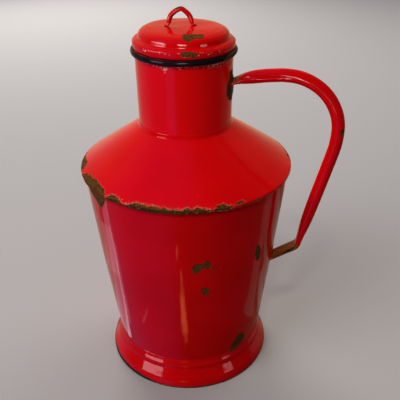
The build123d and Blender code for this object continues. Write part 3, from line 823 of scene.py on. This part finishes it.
lid_marks = [
    dome_mark([(6.2, -30.0), (9.8, -30.2), (13.6, -29.6), (17.6, -28.0), (21.6, -26.4), (24.8, -25.2), (27.0, -27.6), (27.4, -32.0),
               (26.2, -35.6), (22.4, -36.8), (19.0, -38.4), (17.2, -41.4), (14.0, -43.6), (10.2, -44.0), (8.2, -42.0), (7.6, -38.4), (6.4, -34.4)],
              rough=0.6, depth=0.2),
    Mark([(-80.6, LZ(400.9)), (-79.4, LZ(402.0)), (-74.0, LZ(402.0)), (-68.0, LZ(401.4)), (-63.6, LZ(400.8)), (-62.4, LZ(399.0)), (-63.6, LZ(397.0)),
          (-67.0, LZ(396.2)), (-72.0, LZ(396.8)), (-78.0, LZ(396.6)), (-80.2, LZ(398.4))], 54, rough=0.6, depth=0.18, rim=0.15),
    Mark([(-66.0, LZ(400.0)), (-62.0, LZ(400.8)), (-55.0, LZ(400.4)), (-47.0, LZ(399.6)), (-42.4, LZ(398.6)), (-50.0, LZ(397.4)), (-60.0, LZ(396.6)), (-66.0, LZ(396.8))],
         54, rough=0.6, depth=0.0, speck=0.85),
    Mark([(-127.0, LZ(399.6)), (-124.0, LZ(401.4)), (-119.0, LZ(401.2)), (-117.0, LZ(399.4)), (-119.0, LZ(397.4)), (-124.4, LZ(397.4))],
         54, rough=0.6, depth=0.0, speck=0.9),
    Mark([(-118.0, LZ(399.6)), (-110.0, LZ(399.4)), (-100.0, LZ(399.4)), (-90.0, LZ(398.9)), (-90.0, LZ(398.3)), (-102.0, LZ(398.6)), (-112.0, LZ(398.8))],
         54, rough=0.3, depth=0.0, speck=1.05),
    Mark([(-38.0, LZ(400.6)), (-30.0, LZ(400.8)), (-18.0, LZ(400.0)), (-16.0, LZ(397.6)), (-28.0, LZ(396.8)), (-38.0, LZ(397.4))],
         54, rough=1.0, depth=0.0, speck=0.5, worn=0.3),
    Mark([(40.0, LZ(399.0)), (44.0, LZ(401.6)), (52.0, LZ(401.9)), (60.0, LZ(400.8)), (61.0, LZ(397.6)), (52.0, LZ(396.6)), (43.0, LZ(397.0))],
         54, rough=0.8, depth=0.2, rim=0.5),
    Mark([(150.0, LZ(399.4)), (154.0, LZ(401.8)), (163.0, LZ(401.6)), (168.0, LZ(399.8)), (163.0, LZ(397.8)), (154.0, LZ(397.4))],
         54, rough=0.8, depth=0.18, rim=0.6),
    dome_mark([(-20.0, 30.0), (-16.6, 31.6), (-14.6, 29.0), (-16.0, 26.4), (-19.0, 27.0)], rough=0.6, depth=0.22),
]


def lid_shape(P, az, s, radial, N, r, z):
    # the brim and dome are a little out of true
    P = P.copy()
    P[:, 2] += 0.22 * Waves(61, (46.0, 22.0), 3, 6)(P * np.array([1, 1, 0.3])) * smooth(P[:, 2], 400, 404)
    P[:, 2] += 0.12 * Waves(62, (30.0,), 3, 6)(P)
    return tilt(P)


lid_pan = turned("lid_pan_enamelled", lsec, lflag, ln, 360, [red_top_lit, inside], marks=lid_marks, shape=lid_shape, form=0.10, refine=(1.0, 0.5))
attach(lid_pan, "lid")
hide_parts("lid_pan")


# ----------------------------------------------------------- swept shapes
def spline(keys, n):
    """Catmull-Rom through the keys, n steps between two."""
    K = np.array(keys, float)
    out = []
    for i in range(len(K) - 1):
        k0, k1, k2, k3 = K[max(i - 1, 0)], K[i], K[i + 1], K[min(i + 2, len(K) - 1)]
        for j in range(n):
            t = j / n
            out.append(0.5 * (2 * k1 + (k2 - k0) * t + (2 * k0 - 5 * k1 + 4 * k2 - k3) * t * t + (3 * k1 - k0 - 3 * k2 + k3) * t ** 3))
    out.append(K[-1])
    return np.array(out)


def swept(name, C, side, half, mats, n_around=48, marks=(), section=None, bumpy=0.05, seed=71, wrap=90.0, **kw):
    """Tube along the points C (mm), flat in the plane square to side. half(s) gives (half thickness, half width along side)."""
    seg = np.linalg.norm(np.diff(C, axis=0), axis=1)
    S = np.concatenate([[0], np.cumsum(seg)])
    T = np.gradient(C, axis=0)
    T /= np.linalg.norm(T, axis=1)[:, None]
    side = np.array(side, float)
    W = side - (T @ side)[:, None] * T
    W /= np.linalg.norm(W, axis=1)[:, None]
    Nn = np.cross(W, T)
    ht, hw = half(S)
    nz = Waves(seed, (26.0, 9.0), 3, 6)

    def place(u, s):
        a = np.radians(u)
        c = np.stack([np.interp(s, S, C[:, i]) for i in range(3)], -1)
        w = np.stack([np.interp(s, S, W[:, i]) for i in range(3)], -1)
        n = np.stack([np.interp(s, S, Nn[:, i]) for i in range(3)], -1)
        t, b = np.interp(s, S, ht), np.interp(s, S, hw)
        x, y = b * np.cos(a), t * np.sin(a)
        if section is not None:
            x, y = section(a, s, x, y, t, b)
        nx, ny = np.cos(a) * t, np.sin(a) * b
        L = np.maximum(np.hypot(nx, ny), 1e-9)
        N = w * (nx / L)[:, None] + n * (ny / L)[:, None]
        P = c + w * x[:, None] + n * y[:, None]
        P = P + N * (bumpy * nz(P))[:, None]
        return P, N

    U = wrap + np.linspace(0, 360, n_around + 1)
    return surface(name, U, S, place, mats, marks=marks, **kw), S


def cap_ends(ob):
    """Closes the two open ends of a swept tube."""
    bm = bmesh.new()
    bm.from_mesh(ob.data)
    bmesh.ops.holes_fill(bm, edges=[e for e in bm.edges if e.is_boundary], sides=0)
    bmesh.ops.triangulate(bm, faces=[f for f in bm.faces if len(f.verts) > 4])
    bmesh.ops.recalc_face_normals(bm, faces=bm.faces)
    for f in bm.faces:
        f.smooth = True
    bm.to_mesh(ob.data)
    bm.free()


# ------------------------------------------------------------------ handle
TUBE = 7.1
ARC_R = (197.0, 57.7, 105.6)
ARC_A = (16.2, 1.58, -89.34, -103.83)


def arc_at(x, z, r, a0, a):
    cx, cz = x + r * sin(radians(a0)), z - r * cos(radians(a0))
    return cx - r * sin(radians(a)), cz + r * cos(radians(a))


cl = [(50.6, 357.0, 2.2, 10.4), (52.6, 357.9, 2.25, 10.4), (54.8, 358.8, 2.5, 10.2)]      # x, z, half thickness, half width
start = (58.0, 359.97)
for a, ht_, hw_ in ((15.4, 3.7, 9.6), (14.0, 5.2, 8.7), (12.4, 6.4, 7.7), (10.6, 7.0, 7.2), (7.5, TUBE, TUBE), (4.0, TUBE, TUBE)):
    cl.append((*arc_at(*start, ARC_R[0], ARC_A[0], a), ht_, hw_))
p = arc_at(*start, ARC_R[0], ARC_A[0], ARC_A[1])
cl.append((*p, TUBE, TUBE))
for a in (-12, -26, -40, -54, -68, -80):
    cl.append((*arc_at(*p, ARC_R[1], ARC_A[1], a), TUBE, TUBE))
q = arc_at(*p, ARC_R[1], ARC_A[1], ARC_A[2])
cl.append((*q, TUBE, TUBE))
cl.append((*arc_at(*q, ARC_R[2], ARC_A[2], -96.5), TUBE, TUBE))
q = arc_at(*q, ARC_R[2], ARC_A[2], ARC_A[3])
cl.append((*q, TUBE, TUBE))
dx, dz = cos(radians(ARC_A[3])), sin(radians(ARC_A[3]))
for L, ht_, hw_ in ((22, TUBE, TUBE), (46, TUBE, TUBE), (68, 7.0, 7.15), (78, 6.8, 7.3), (89, 6.45, 7.7), (100, 5.6, 8.5), (111, 4.3, 9.4)):
    cl.append((q[0] + L * dx, q[1] + L * dz, ht_, hw_))
cl += [(134.2, 163.8, 3.5, 10.0), (131.9, 160.6, 3.0, 10.35), (128.2, 157.6, 2.7, 10.45), (122.0, 153.6, 2.45, 10.5), (112.0, 146.9, 2.3, 10.5),
       (103.6, 141.3, 2.3, 10.5)]
K = spline(cl, 12)
hc = np.stack([K[:, 0], 0.5 * np.sin(K[:, 1] / 60.0), K[:, 1]], -1)
hS = np.concatenate([[0], np.cumsum(np.linalg.norm(np.diff(hc, axis=0), axis=1))])
H_LEN = float(hS[-1])


def handle_half(S):
    return np.interp(S, hS, K[:, 2]), np.interp(S, hS, K[:, 3])


def handle_section(a, s, x, y, t, b):
    """Flattened ends are squarer, with a fold pressed along the upper one and a shallow trough in the strap."""
    flat = np.clip((b - TUBE) / 3.3, 0, 1)
    p = 1 - 0.34 * flat
    x = b * np.sign(np.cos(a)) * np.abs(np.cos(a)) ** p
    y = t * np.sign(np.sin(a)) * np.abs(np.sin(a)) ** p
    trough = 0.55 * smooth(s, H_LEN - 40, H_LEN - 26) * np.exp(-(x / 6.0) ** 2)
    y = y - trough * np.sign(np.sin(a)) * np.minimum(1, np.abs(np.sin(a)) * 1.5)
    # the fold left by the flattening runs along the front flank of the tube and dies out towards the bend
    at = np.radians(216.0 - 38.0 * smooth(s, 0, 46))
    mm = ((a - at + pi) % (2 * pi) - pi) * np.hypot(x, y)
    run = smooth(s, 1, 8) * (1 - smooth(s, 40, 78))
    cut = run * (0.80 * np.exp(-(mm / 1.25) ** 2) - 0.32 * np.exp(-((mm + 2.1) / 1.2) ** 2)) * np.minimum(1, t / 3.0)
    L = np.maximum(np.hypot(np.cos(a) * t, np.sin(a) * b), 1e-9)
    return x - cut * np.cos(a) * t / L, y - cut * np.sin(a) * b / L


# angle 270 is the outer side of the bend, 0 and 180 are the two flanks, 90 the inner side
kink_s = float(np.interp(0, [0], [0])) + float(hS[np.argmin(np.hypot(K[:, 0] - 134.2, K[:, 1] - 163.8))])
h_marks = [
    Mark([(270 - 62, -1), (270 - 66, 7), (270 - 50, 12), (270 - 24, 9), (270 - 4, 14), (270 + 24, 21), (270 + 44, 15), (270 + 66, 8), (270 + 70, -1)],
         7.5, rough=1.1, depth=0, worn=0.75, speck=0.3),
    Mark([(196, -1), (202, 3.0), (224, 5.4), (252, 3.6), (290, 4.6), (300, -1)], 7.5, rough=0.7, depth=0.12, rim=0.4),
    Mark([(176, 6), (184, 12), (192, 13), (196, 7), (188, 4)], 7.5, rough=0.4, depth=0.0, worn=0.6),
]
handle_curve = hc


def handle_param(x, z):
    k = int(np.argmin(np.hypot(K[:, 0] - x, K[:, 1] - z)))
    return float(hS[k])


h_marks += [
    oval(186, handle_param(156.5, 342.0), TUBE, 0.6, 1.0, rough=0.2, depth=0.15),
    oval(219, handle_param(166.3, 310.5), TUBE, 2.5, 4.3, rough=0.4, depth=0.3),
    oval(243, handle_param(160.0, 268.0), TUBE, 0.7, 0.9, rough=0.3, depth=0.2, rim=0.8),
    oval(60, handle_param(140.0, 192.0), TUBE, 1.2, 2.4, rough=0.5, depth=0.25),
    oval(330, handle_param(128.0, 365.0), TUBE, 1.4, 1.1, rough=0.5, depth=0.22),
    # worn strap, most on its upper face and edges
    Mark([(-85, kink_s + 3), (-10, kink_s + 1), (50, kink_s - 1), (90, kink_s + 2), (130, kink_s - 1), (190, kink_s + 1), (265, kink_s + 3),
          (265, H_LEN - 16), (215, H_LEN - 14), (188, H_LEN - 9), (172, H_LEN + 3), (-85, H_LEN + 3)], 8.5, rough=1.3, depth=0, worn=0.95),
    Mark([(130, kink_s + 6), (150, kink_s + 3), (176, kink_s + 8), (178, kink_s + 18), (160, kink_s + 22), (136, kink_s + 18)], 8.5, rough=0.8, depth=0.1),
]
handle, _ = swept("handle_tube_enamelled", hc, (0, 1, 0), handle_half, [red_handle_lit], n_around=96, marks=h_marks, section=handle_section,
                  bumpy=0.025, wrap=-90.0, refine=(0.8, 0.4))
cap_ends(handle)
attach(handle, "can")
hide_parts("handle_tube")


# ------------------------------------------------------------------ plates
def plate(name, zc, half_h, half_w, line, slope, mat, thick=1.15):
    """Oval pad on a turned surface, crowned, with a soft edge."""
    rings, spokes = 14, 72
    V, F = [], []
    for top in (1, 0):
        for i in range(rings + 1):
            rho = (i / rings) ** 0.7
            for j in range(spokes):
                a = 2 * pi * j / spokes
                yy, zz = half_w * rho * cos(a), zc + half_h * rho * sin(a)
                R = float(line(zz)) + (thick * (1 - rho ** 5) + 0.06 if top else -0.1)
                R += 0.05 * sin(yy * 1.3 + zz * 0.9) if top else 0
                ang = yy / max(float(line(zc)), 1)
                V.append((R * cos(ang), R * sin(ang), zz))
    n = (rings + 1) * spokes
    for base, flip in ((0, False), (n, True)):
        for i in range(rings):
            for j in range(spokes):
                a, b = base + i * spokes + j, base + i * spokes + (j + 1) % spokes
                c, d = b + spokes, a + spokes
                F.append((a, d, c, b) if flip else (a, b, c, d))
    for j in range(spokes):
        a, b = rings * spokes + j, rings * spokes + (j + 1) % spokes
        F.append((a, n + a, n + b, b))
    me = bpy.data.meshes.new(name)
    me.from_pydata([tuple(x * MM for x in v) for v in V], [], F)
    bm = bmesh.new()
    bm.from_mesh(me)
    bmesh.ops.remove_doubles(bm, verts=bm.verts, dist=2e-6)
    bmesh.ops.recalc_face_normals(bm, faces=bm.faces)
    bm.to_mesh(me)
    bm.free()
    return finish_mesh(name, me, [mat])


up_plate = plate("upper_handle_plate_bare", 353.2, 12.4, 11.6, neck_r, NECK_FLARE, browned)
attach(up_plate, "can")
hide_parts("upper_handle_plate")
low_plate = plate("lower_handle_plate_enamelled", 146.0, 13.4, 12.6, wall_r, WALL_SLOPE, red)
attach(low_plate, "can")
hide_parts("lower_handle_plate")

# -------------------------------------------------------------------- loop
ux, uy = cos(radians(LOOP_AZ)), sin(radians(LOOP_AZ))
lk = [(-16.9, 0.9, 0.75, 2.3), (-15.4, 0.95, 0.85, 2.6), (-13.9, 1.2, 1.1, 2.8), (-12.7, 2.3, 1.8, 2.75), (-12.1, 4.6, 2.5, 2.7), (-11.5, 7.4, 2.65, 2.65),
      (-9.6, 11.4, 2.65, 2.6), (-5.4, 14.9, 2.6, 2.5), (-2.0, 16.7, 2.5, 2.5), (0.0, 17.2, 2.45, 2.45), (1.9, 16.7, 2.5, 2.5), (4.8, 14.7, 2.55, 2.5),
      (8.6, 11.0, 2.6, 2.55), (10.7, 7.2, 2.55, 2.6), (11.4, 4.6, 2.4, 2.65), (12.0, 2.3, 1.8, 2.7), (13.3, 1.2, 1.1, 2.7), (14.9, 0.95, 0.85, 2.5), (16.4, 0.9, 0.75, 2.2)]
LK = spline(lk, 8)
lc = np.stack([LOOP_X + LK[:, 0] * ux, LOOP_Y + LK[:, 0] * uy, LID_TOP - 0.05 + LK[:, 1]], -1)
lS = np.concatenate([[0], np.cumsum(np.linalg.norm(np.diff(lc, axis=0), axis=1))])
LL = float(lS[-1])


def loop_half(S):
    return np.interp(S, lS, LK[:, 2]), np.interp(S, lS, LK[:, 3])


# angle 90 is the outer side of the arch, 270 the inner side; 0 and 180 face front and back
loop_marks = [
    Mark([(20, LL * .5 - 3.6), (60, LL * .5 - 5.4), (100, LL * .5 - 5.0), (150, LL * .5 - 5.6), (165, LL * .5 + 3.0), (120, LL * .5 + 5.2), (60, LL * .5 + 4.6), (25, LL * .5 + 3.0)],
         2.3, rough=0.7, depth=0.14, rim=0.2),
    # the dark inner side of both legs
    Mark([(-84, LL * .13), (-32, LL * .15), (-16, LL * .22), (-22, LL * .30), (-34, LL * .37), (-62, LL * .43), (-84, LL * .42)],
         2.5, rough=0.35, depth=0.12, worn=0.9),
    Mark([(-84, LL * .62), (-60, LL * .62), (-44, LL * .68), (-42, LL * .76), (-56, LL * .82), (-84, LL * .83)],
         2.5, rough=0.35, depth=0.12, worn=0.7),
    # pale specks on the front of the arch's upper right: a painted highlight
    Mark([(36, LL * .60), (58, LL * .59), (66, LL * .62), (50, LL * .64), (36, LL * .63)], 2.5, rough=0.3, depth=0.0, speck=1.1),
]
loop, _ = swept("lid_loop_enamelled", lc, (uy, -ux, 0), loop_half, [red_top_lit], n_around=28, marks=loop_marks, bumpy=0.06, seed=83, wrap=-90.0,
                refine=(0.5,))
cap_ends(loop)
co = np.zeros(len(loop.data.vertices) * 3, np.float32)
loop.data.vertices.foreach_get("co", co)
loop.data.vertices.foreach_set("co", (tilt(co.reshape(-1, 3).astype(float) / MM) * MM).astype(np.float32).ravel())
loop.data.update()
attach(loop, "lid")
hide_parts("lid_loop")

# ---------------------------------------------- CAD nodes that stay as made
for node, mat in (("bottom_plate", inside), ("lid_collar", inside)):
    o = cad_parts[node]
    o.data.materials.clear()
    o.data.materials.append(mat)

# ------------------------------------------------------- floor, light, lens
fm = bpy.data.materials.new("pale_floor")
fm.use_nodes = True
m = Nodes(fm.node_tree)
fo, fb = m.new("ShaderNodeOutputMaterial"), m.new("ShaderNodeBsdfPrincipled")
m.t.links.new(fb.outputs[0], fo.inputs[0])
fb.inputs["Base Color"].default_value = (0.37, 0.36, 0.35, 1)
fb.inputs["Roughness"].default_value = 0.8
fb.inputs["Specular IOR Level"].default_value = 0.1
me = bpy.data.meshes.new("floor")
n = 96
V = [(0, 0, 0)] + [(6 * cos(2 * pi * i / n), 6 * sin(2 * pi * i / n), 0) for i in range(n)]
me.from_pydata(V, [], [(0, i + 1, (i + 1) % n + 1) for i in range(n)])
me.materials.append(fm)
floor = bpy.data.objects.new("floor", me)
scene.collection.objects.link(floor)
floor.visible_glossy = False

world = bpy.data.worlds.new("studio")
scene.world = world
world.use_nodes = True
w = Nodes(world.node_tree)
wo, bg = w.new("ShaderNodeOutputWorld"), w.new("ShaderNodeBackground")
w.t.links.new(bg.outputs[0], wo.inputs[0])
wd = w.new("ShaderNodeTexCoord").outputs["Generated"]
sx = w.new("ShaderNodeSeparateXYZ")
w.t.links.new(wd, sx.inputs[0])
X, Y, Z = sx.outputs
az = w.math("MULTIPLY", w.math("ARCTAN2", Y, X), 180 / pi)
el = w.math("MULTIPLY", w.math("ARCSINE", Z), 180 / pi)


def toward(a, e):
    """Cosine of the angle to a direction given in degrees."""
    n = w.new("ShaderNodeVectorMath", operation="DOT_PRODUCT")
    w.t.links.new(wd, n.inputs[0])
    n.inputs[1].default_value = (cos(radians(e)) * cos(radians(a)), cos(radians(e)) * sin(radians(a)), sin(radians(e)))
    return n.outputs["Value"]


def patch(a0, a1, e0, e1, soft=4.0, esoft=None):
    """Soft-edged part of the surroundings, by azimuth and elevation in degrees."""
    mid, half = (a0 + a1) / 2, (a1 - a0) / 2
    off = w.math("ABSOLUTE", w.math("WRAP", w.math("SUBTRACT", az, mid), 180.0, -180.0))
    fa = w.ramp(off, half + soft / 2, half - soft / 2)
    es = soft if esoft is None else esoft
    fe = w.math("MULTIPLY", w.ramp(el, e0 - es / 2, e0 + es / 2), w.ramp(el, e1 + es / 2, e1 - es / 2))
    return w.math("MULTIPLY", fa, fe)


def scaled(c, k):
    n = w.new("ShaderNodeVectorMath", operation="SCALE")
    w.put(n.inputs[0], c if isinstance(c, bpy.types.NodeSocket) else tuple(c))
    w.put(n.inputs["Scale"], k)
    return n.outputs[0]


def added(*cs):
    out = cs[0]
    for c in cs[1:]:
        n = w.new("ShaderNodeVectorMath", operation="ADD")
        w.t.links.new(out, n.inputs[0])
        w.t.links.new(c, n.inputs[1])
        out = n.outputs[0]
    return out


# a pale wall behind, brightest low down and fading round both sides
far = w.math("MULTIPLY", w.math("ARCCOSINE", toward(103, -12)), 180 / pi)
glow = w.math("EXPONENT", w.math("DIVIDE", far, -34.0))
leftness = w.ramp(toward(193, 0), 0.05, 0.6)
glow = w.math("MULTIPLY", glow, w.math("ADD", 1.0, w.math("MULTIPLY", leftness, 0.8)))
glow = w.math("MULTIPLY", glow, w.ramp(el, -31.0, -26.0, 0.3, 1.0))
glow = w.math("MULTIPLY", glow, w.ramp(far, 100.0, 72.0))
tint = w.mix(leftness, (0.76, 0.58, 0.36), (0.64, 0.56, 0.50))
total = added(
    scaled((0.010, 0.008, 0.009), 1.0),
    scaled(tint, glow),
    scaled((0.035, 0.03, 0.17), patch(-200, -98, -62, -10, 30, 10)),          # cool sheen low on the left
    scaled((0.05, 0.045, 0.22), w.ramp(toward(-160, 62), 0.72, 0.96)),         # and high on the left
    scaled((0.13, 0.06, 0.32), patch(-121, -100, -27, -16, 4, 4)),
)
w.put(bg.inputs["Color"], total)
bg.inputs["Strength"].default_value = 1.0


def area(name, az_, el_, dist, size, power, colour, target=(0, 0, 0.25), glossy=True):
    """Soft light towards the object from an azimuth and elevation in degrees."""
    L = bpy.data.lights.new(name, "AREA")
    L.shape = "RECTANGLE"
    L.size, L.size_y = size
    L.energy = power
    L.color = colour
    o = bpy.data.objects.new(name, L)
    t = Vector(target)
    o.location = t + Vector((cos(radians(az_)) * cos(radians(el_)), sin(radians(az_)) * cos(radians(el_)), sin(radians(el_)))) * dist
    o.rotation_mode = "QUATERNION"
    o.rotation_quaternion = (t - o.location).to_track_quat("-Z", "Y")
    scene.collection.objects.link(o)
    o.visible_glossy = glossy
    o.visible_camera = False
    return o


def only(light, *obs):
    """The light's mirror image and glow reach only these pieces."""
    c = bpy.data.collections.new(light.name + "_receivers")
    for ob in obs:
        c.objects.link(ob)
    light.light_linking.receiver_collection = c


def card(name, x0, x1, y0, y1, colour, turn=0.0, on=()):
    """Reflector card lying on the floor, seen only in the enamel. Millimetres; colour is its brightness."""
    L = bpy.data.lights.new(name, "AREA")
    L.shape = "RECTANGLE"
    L.size, L.size_y = (x1 - x0) * MM, (y1 - y0) * MM
    top = max(colour)
    L.energy = pi * L.size * L.size_y * top
    L.color = tuple(c / top for c in colour)
    o = bpy.data.objects.new(name, L)
    o.location = ((x0 + x1) / 2 * MM, (y0 + y1) / 2 * MM, 0.0008)
    o.rotation_euler = (pi, 0, radians(turn))
    scene.collection.objects.link(o)
    o.visible_camera = False
    o.visible_diffuse = False
    o.visible_shadow = False
    if on:
        only(o, *on)
    return o


window = area("window", -136, 18, 2.4, (1.0, 1.15), 12, (0.97, 0.96, 1.0))
window.visible_diffuse = False
area("key", -130, 40, 2.4, (1.4, 1.4), 36, (0.98, 0.97, 1.0), glossy=False)
area("lamp", -82, 50, 1.9, (0.24, 0.13), 9.0, (1.0, 0.86, 0.70), glossy=False)
# the lamp and the windows as the lid, the bead, the handle and the foot mirror them
for name_, args, obs in (
        ("lid_lamp", (-82, 14, 1.9, (0.60, 0.60), 24.0, (1.0, 0.93, 0.78), (0, 0, 0.407)), (lid_pan,)),
        ("bead_lamp", (-82, 16, 1.9, (0.55, 0.50), 7.0, (1.0, 0.96, 0.92), (0, 0, 0.39)), (bead, loop)),
        ("lid_window", (-141, 6, 2.4, (1.50, 0.46), 24.0, (1.0, 0.88, 0.93), (0, 0, 0.405)), (lid_pan, loop)),
        ("lid_window_right", (-29, 0, 2.4, (0.70, 0.14), 1.3, (1.0, 0.86, 0.92), (0, 0, 0.405)), (lid_pan,)),
        ("handle_strip", (-91.5, -9, 1.0, (0.13, 0.24), 1.15, (1.0, 0.84, 0.80), (0.115, -0.007, 0.367)), (handle,)),
        ("handle_bend", (-86, -17, 1.0, (0.10, 0.10), 0.12, (1.0, 0.80, 0.76), (0.158, -0.007, 0.340)), (handle,)),
        ("low_window_left", (-129, 1, 2.4, (1.20, 0.46), 8.0, (1.0, 0.82, 0.92), (0, 0, 0.02)), (foot,)),
        ("low_window_right", (-25.5, 1.5, 2.4, (0.52, 0.26), 0.9, (1.0, 0.80, 0.90), (0, 0, 0.02)), (foot,))):
    o = area(name_, *args)
    o.visible_diffuse = False
    only(o, *obs)
area("soft_back", 120, 25, 2.4, (1.4, 1.4), 50, (1.0, 0.98, 0.96), glossy=False)
area("soft_side", 60, 45, 2.4, (1.4, 1.4), 20, (1.0, 0.98, 0.96), glossy=False)

# the bright stretch of table to the left, in strips
UPPER = (body_wall, shoulder, neck, bead, lid_pan, handle)
card("card_left_edge_a", -350, -220, -50, -36, (1.35, 1.15, 1.40), on=UPPER)
card("card_left_edge_b", -220, -92, -53, -38, (1.05, 0.85, 1.05), on=UPPER)
card("card_left_line", -350, -120, -62, -57, (0.50, 0.40, 0.50), on=UPPER)
card("card_left_near_a", -350, -220, -36, 20, (0.68, 0.55, 0.68), on=UPPER)
card("card_left_near_b", -220, -98, -38, 20, (0.42, 0.33, 0.40), on=UPPER)
card("card_left_mid_a", -350, -220, 20, 78, (0.36, 0.29, 0.30), on=UPPER)
card("card_left_mid_b", -220, -98, 20, 120, (0.24, 0.19, 0.20), on=UPPER)
card("card_left_far_a", -470, -220, 78, 330, (0.20, 0.16, 0.14), on=UPPER)
card("card_left_far_b", -220, -98, 120, 330, (0.14, 0.11, 0.10), on=UPPER)
card("card_left_edge_c", -440, -350, -50, -36, (0.70, 0.60, 0.70), on=UPPER)
card("card_left_near_c", -440, -350, -36, 20, (0.40, 0.33, 0.38), on=UPPER)
# lamp seen in the table, and the dim table to the right
card("card_lamp_a", 11, 28, -215, -166, (3.6, 0.92, 0.30))
card("card_lamp_b", 17, 25, -262, -213, (2.2, 0.52, 0.18))
card("card_lamp_c", 14, 30, -168, -151, (3.0, 0.74, 0.26))
card("card_lamp_d", 18, 26, -152, -137, (1.3, 0.32, 0.11))
card("card_lamp_glow", 9, 33, -226, -148, (0.45, 0.10, 0.03))
card("card_lamp_up", 5, 12, -322, -288, (3.4, 0.95, 0.50))
card("card_small", -109, -102, -146, -113, (0.42, 0.27, 0.36))
card("card_right_a", 128, 392, 32, 88, (0.10, 0.085, 0.075), turn=27)
card("card_right_b", 90, 430, 112, 330, (0.10, 0.08, 0.07))
card("card_right_near", 104, 200, 62, 108, (0.15, 0.12, 0.10), turn=12)

cam = bpy.data.cameras.new("camera")
cam.sensor_width = 36.0
cam.lens = 55.788
cam.clip_start, cam.clip_end = 0.02, 50
co_ = bpy.data.objects.new("camera", cam)
right, upv, fwd = Vector((0.98027, 0.19751, -0.00717)), Vector((-0.09135, 0.48496, 0.86975)), Vector((-0.17526, 0.85194, -0.49344))
M = Matrix((right, upv, -fwd)).transposed().to_4x4()
M.translation = Vector((0.14516, -0.62875, 0.57331))
co_.matrix_world = M
scene.collection.objects.link(co_)
scene.camera = co_
scene.view_settings.view_transform = "Standard"
scene.view_settings.look = "None"
